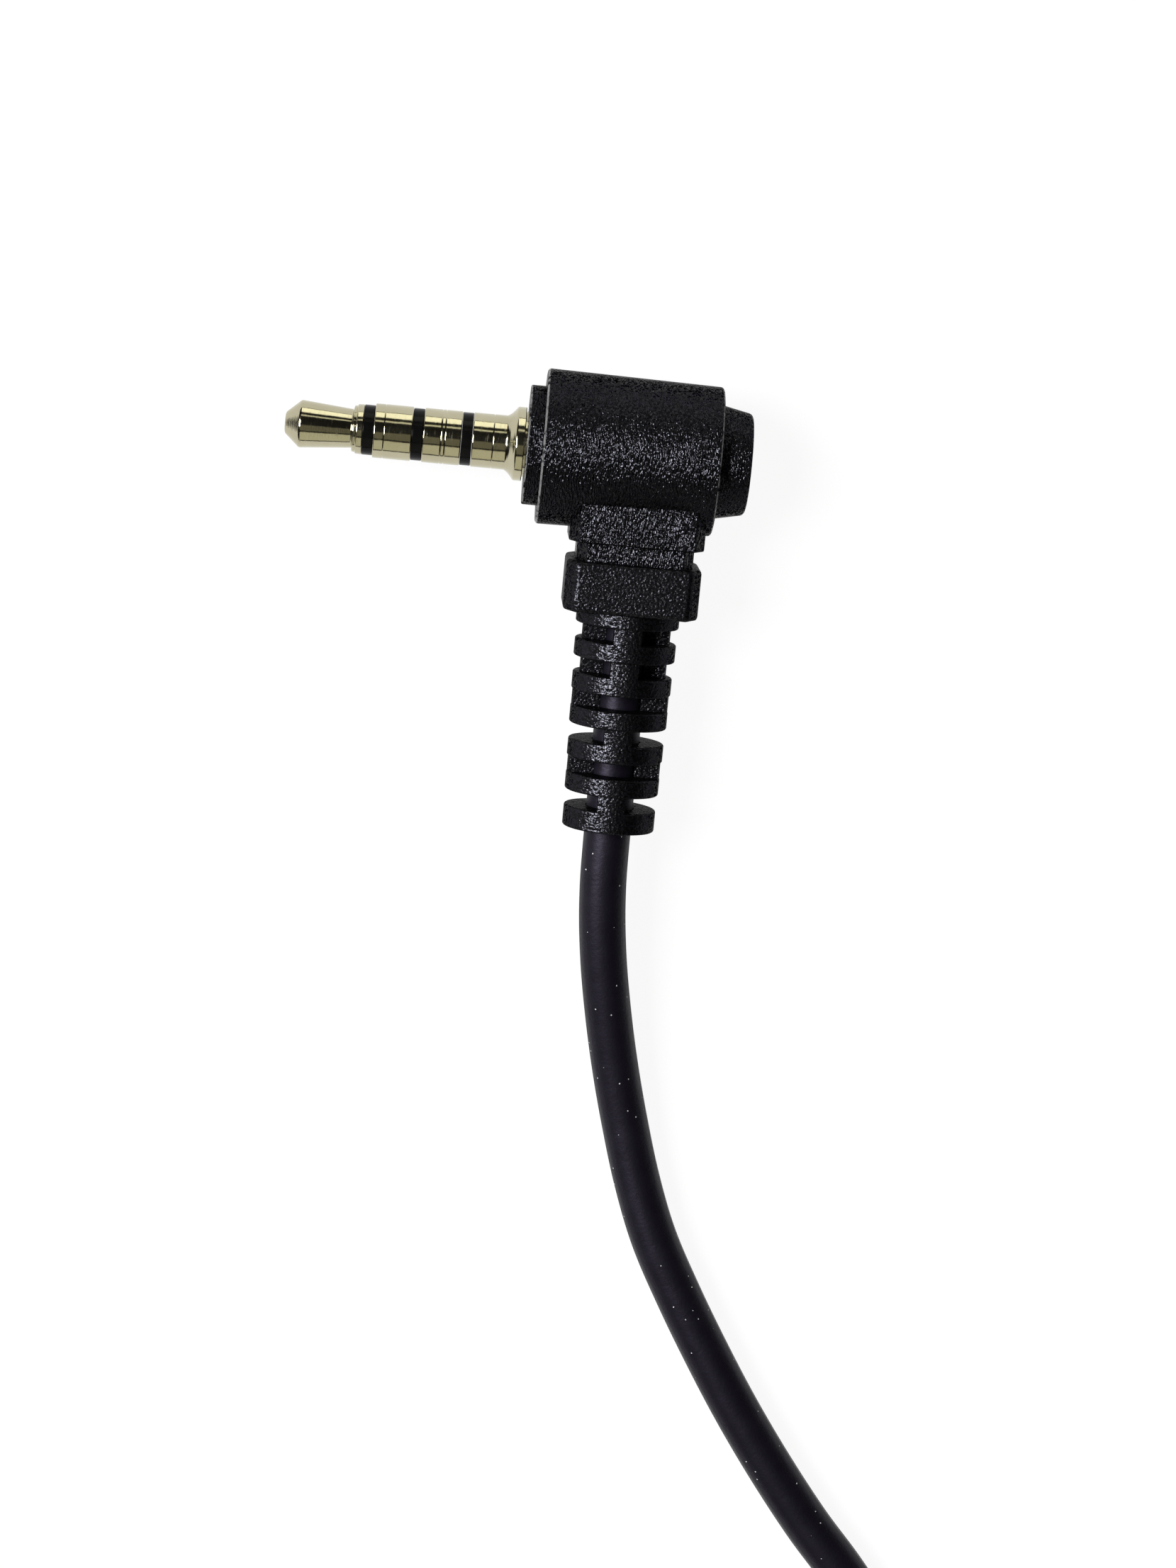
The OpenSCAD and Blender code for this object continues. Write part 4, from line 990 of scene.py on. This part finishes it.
# %% [markdown]
# ## Leaf springs
#
# Three brass leaves sit one above the other under the button. Its stem first bends the
# upper one on to the middle one, which wakes the camera, and then both on to the lower one,
# which fires it. Each leaf is cut many times along its length, since only points can move
# in a bend, but the script doesn't bend it: the leaf keeps the place it has in the CAD model
# and rides on no body. A leaf that rode on the button as a stiff plate would pull its root
# out of the block.

# %% Leaf springs, cut along their length
LEAF_ROOT, LEAF_CUT, LEAF_CUTS = 6.2, 0.4, 29  # front of the block, and the cuts' pitch


def leaf_spring(node, follows):
    """follows: not used; it would say where along Y the leaf moves just as far as the button."""
    bm = merged_copy(node)
    for k in range(LEAF_CUTS):
        bmesh.ops.bisect_plane(
            bm, geom=bm.verts[:] + bm.edges[:] + bm.faces[:], dist=SAME_POINT,
            plane_co=(0, LEAF_ROOT + k * LEAF_CUT, 0), plane_no=(0, 1, 0))
    bend = ("handset", "button", (0, LEAF_ROOT * MM, 0), (0, follows * MM, 0))
    as_piece(bm, node, "spring_brass", Matrix.Identity(4), bend=bend)


leaf_spring("common_leaf", 14.5)
leaf_spring("focus_leaf", 19.0)
leaf_spring("shutter_leaf", 27.5)

# %% [markdown]
# ## The CAD nodes that stay
#
# Board, resistors, clamp, wires and small screws have the right shape as they are. Each came
# with a plain material named for its slot, and the finish of that name takes its place. The
# meshes aren't touched, so these pieces still match their solids exactly.

# %% Give the CAD nodes that stay their finishes
kept = 0
for name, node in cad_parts.items():
    if name in dressed:
        continue
    for place in node.material_slots:
        if place.material and place.material.name in finishes:
            place.material = finishes[place.material.name]
            kept += 1
print("CAD nodes with a finish:", kept)

# %% [markdown]
# ## Floor and light
#
# A small object is lit by soft panels round it, in an otherwise dark room. The turned metal
# mirrors each panel as a band along its length, and the dark gaps between the panels as
# black bands: that contrast is what makes it look like metal. The key panel stands to the
# left, halfway up, where it finds the slopes of the plastic's grain, and it gives nearly all
# the light. The others are dim, and only show as bands in the metal. The floor is white for
# the camera, and for mirrors, but still takes a soft shadow: a light path node tells which
# kind of ray asks. More light on a grey floor would whiten it too, but would bleach the
# pieces with it.

# %% Floor and room
FLOOR_SIZE, FLOOR_DROP = 4, 0.00002  # metres; a hair below the pieces, so no faces fight
FLOOR_GLOW, ROOM_GLOW = 0.93, 0.012


def white_floor():
    """White to the camera and to mirrors, and a plain floor that takes shadow to the rest."""
    sheet = Finish("floor_white", Roughness=0.9, Base_Color=(0.86, 0.86, 0.86, 1))
    seen, mirrored, through = sheet.node("ShaderNodeLightPath", output=(
        "Is Camera Ray", "Is Glossy Ray", "Is Transmission Ray"))
    share = seen.math("MAXIMUM", mirrored).math("MAXIMUM", through) * FLOOR_GLOW
    plain = Value(sheet.tree, sheet.shader.outputs[0])
    blend = sheet.node("ShaderNodeMixShader", _0=share, _1=plain,
                       _2=sheet.node("ShaderNodeEmission"))
    surface = sheet.tree.nodes["Material Output"].inputs["Surface"]
    sheet.tree.links.new(blend.socket, surface)
    return sheet.material


bm = bmesh.new()
bmesh.ops.create_grid(bm, x_segments=1, y_segments=1, size=FLOOR_SIZE / 2)
bmesh.ops.translate(bm, vec=(0, 0, -FLOOR_DROP), verts=bm.verts)
mesh = bpy.data.meshes.new("floor")
bm.to_mesh(mesh)
bm.free()
mesh.materials.append(white_floor())
floor = bpy.data.objects.new("floor", mesh)
bpy.context.scene.collection.objects.link(floor)
world = bpy.data.worlds.new("room")
bpy.context.scene.world = world
world.use_nodes = True
room = world.node_tree.nodes["Background"]
room.inputs["Color"].default_value = (1, 1, 1, 1)
room.inputs["Strength"].default_value = ROOM_GLOW
print("floor and room are ready")

# %% Light panels
WATTS_AS_WHITE = 4  # an area lamp of so many watts per square metre looks just white
DISTANCE = 0.6  # from the plug to every panel


def panel(name, azimuth, zenith, spread, glow, colour=(1, 1, 1)):
    """A soft panel round the plug. Its azimuth is from +X, it spans two angles from straight
    overhead and a spread to each side, all in degrees, and it glows as bright as white x glow."""
    middle, half = sum(zenith) / 2, (zenith[1] - zenith[0]) / 2
    a, z = math.radians(azimuth), math.radians(middle)
    away = Vector((math.cos(a) * math.sin(z), math.sin(a) * math.sin(z), math.cos(z)))
    data = bpy.data.lights.new(name, "AREA")
    data.shape = "RECTANGLE"
    data.size = 2 * DISTANCE * math.tan(math.radians(spread))
    data.size_y = 2 * DISTANCE * math.tan(math.radians(half))
    data.energy = WATTS_AS_WHITE * glow * data.size * data.size_y
    data.color = colour
    lamp = bpy.data.objects.new(name, data)
    bpy.context.scene.collection.objects.link(lamp)
    lamp.location = VIEW_TARGET + away * DISTANCE
    lamp.rotation_mode = "QUATERNION"
    lamp.rotation_quaternion = away.to_track_quat("Z", "Y")


panel("key_left", 170, (24, 50), 13, 24.5)
panel("strip_behind", 90, (62, 87), 12, 1.6, (1.0, 0.98, 0.85))
panel("line_behind", 90, (42, 48), 12, 0.9, (1.0, 0.98, 0.80))
panel("strip_in_front", 270, (38, 84), 14, 0.60, (1.0, 0.97, 0.80))
panel("dim_in_front", 270, (2, 31), 12, 0.15, (1.0, 0.95, 0.70))

# %% [markdown]
# ## The end
#
# Last, the scene is set to Blender's Standard view transform.

bpy.context.scene.view_settings.view_transform = "Standard"
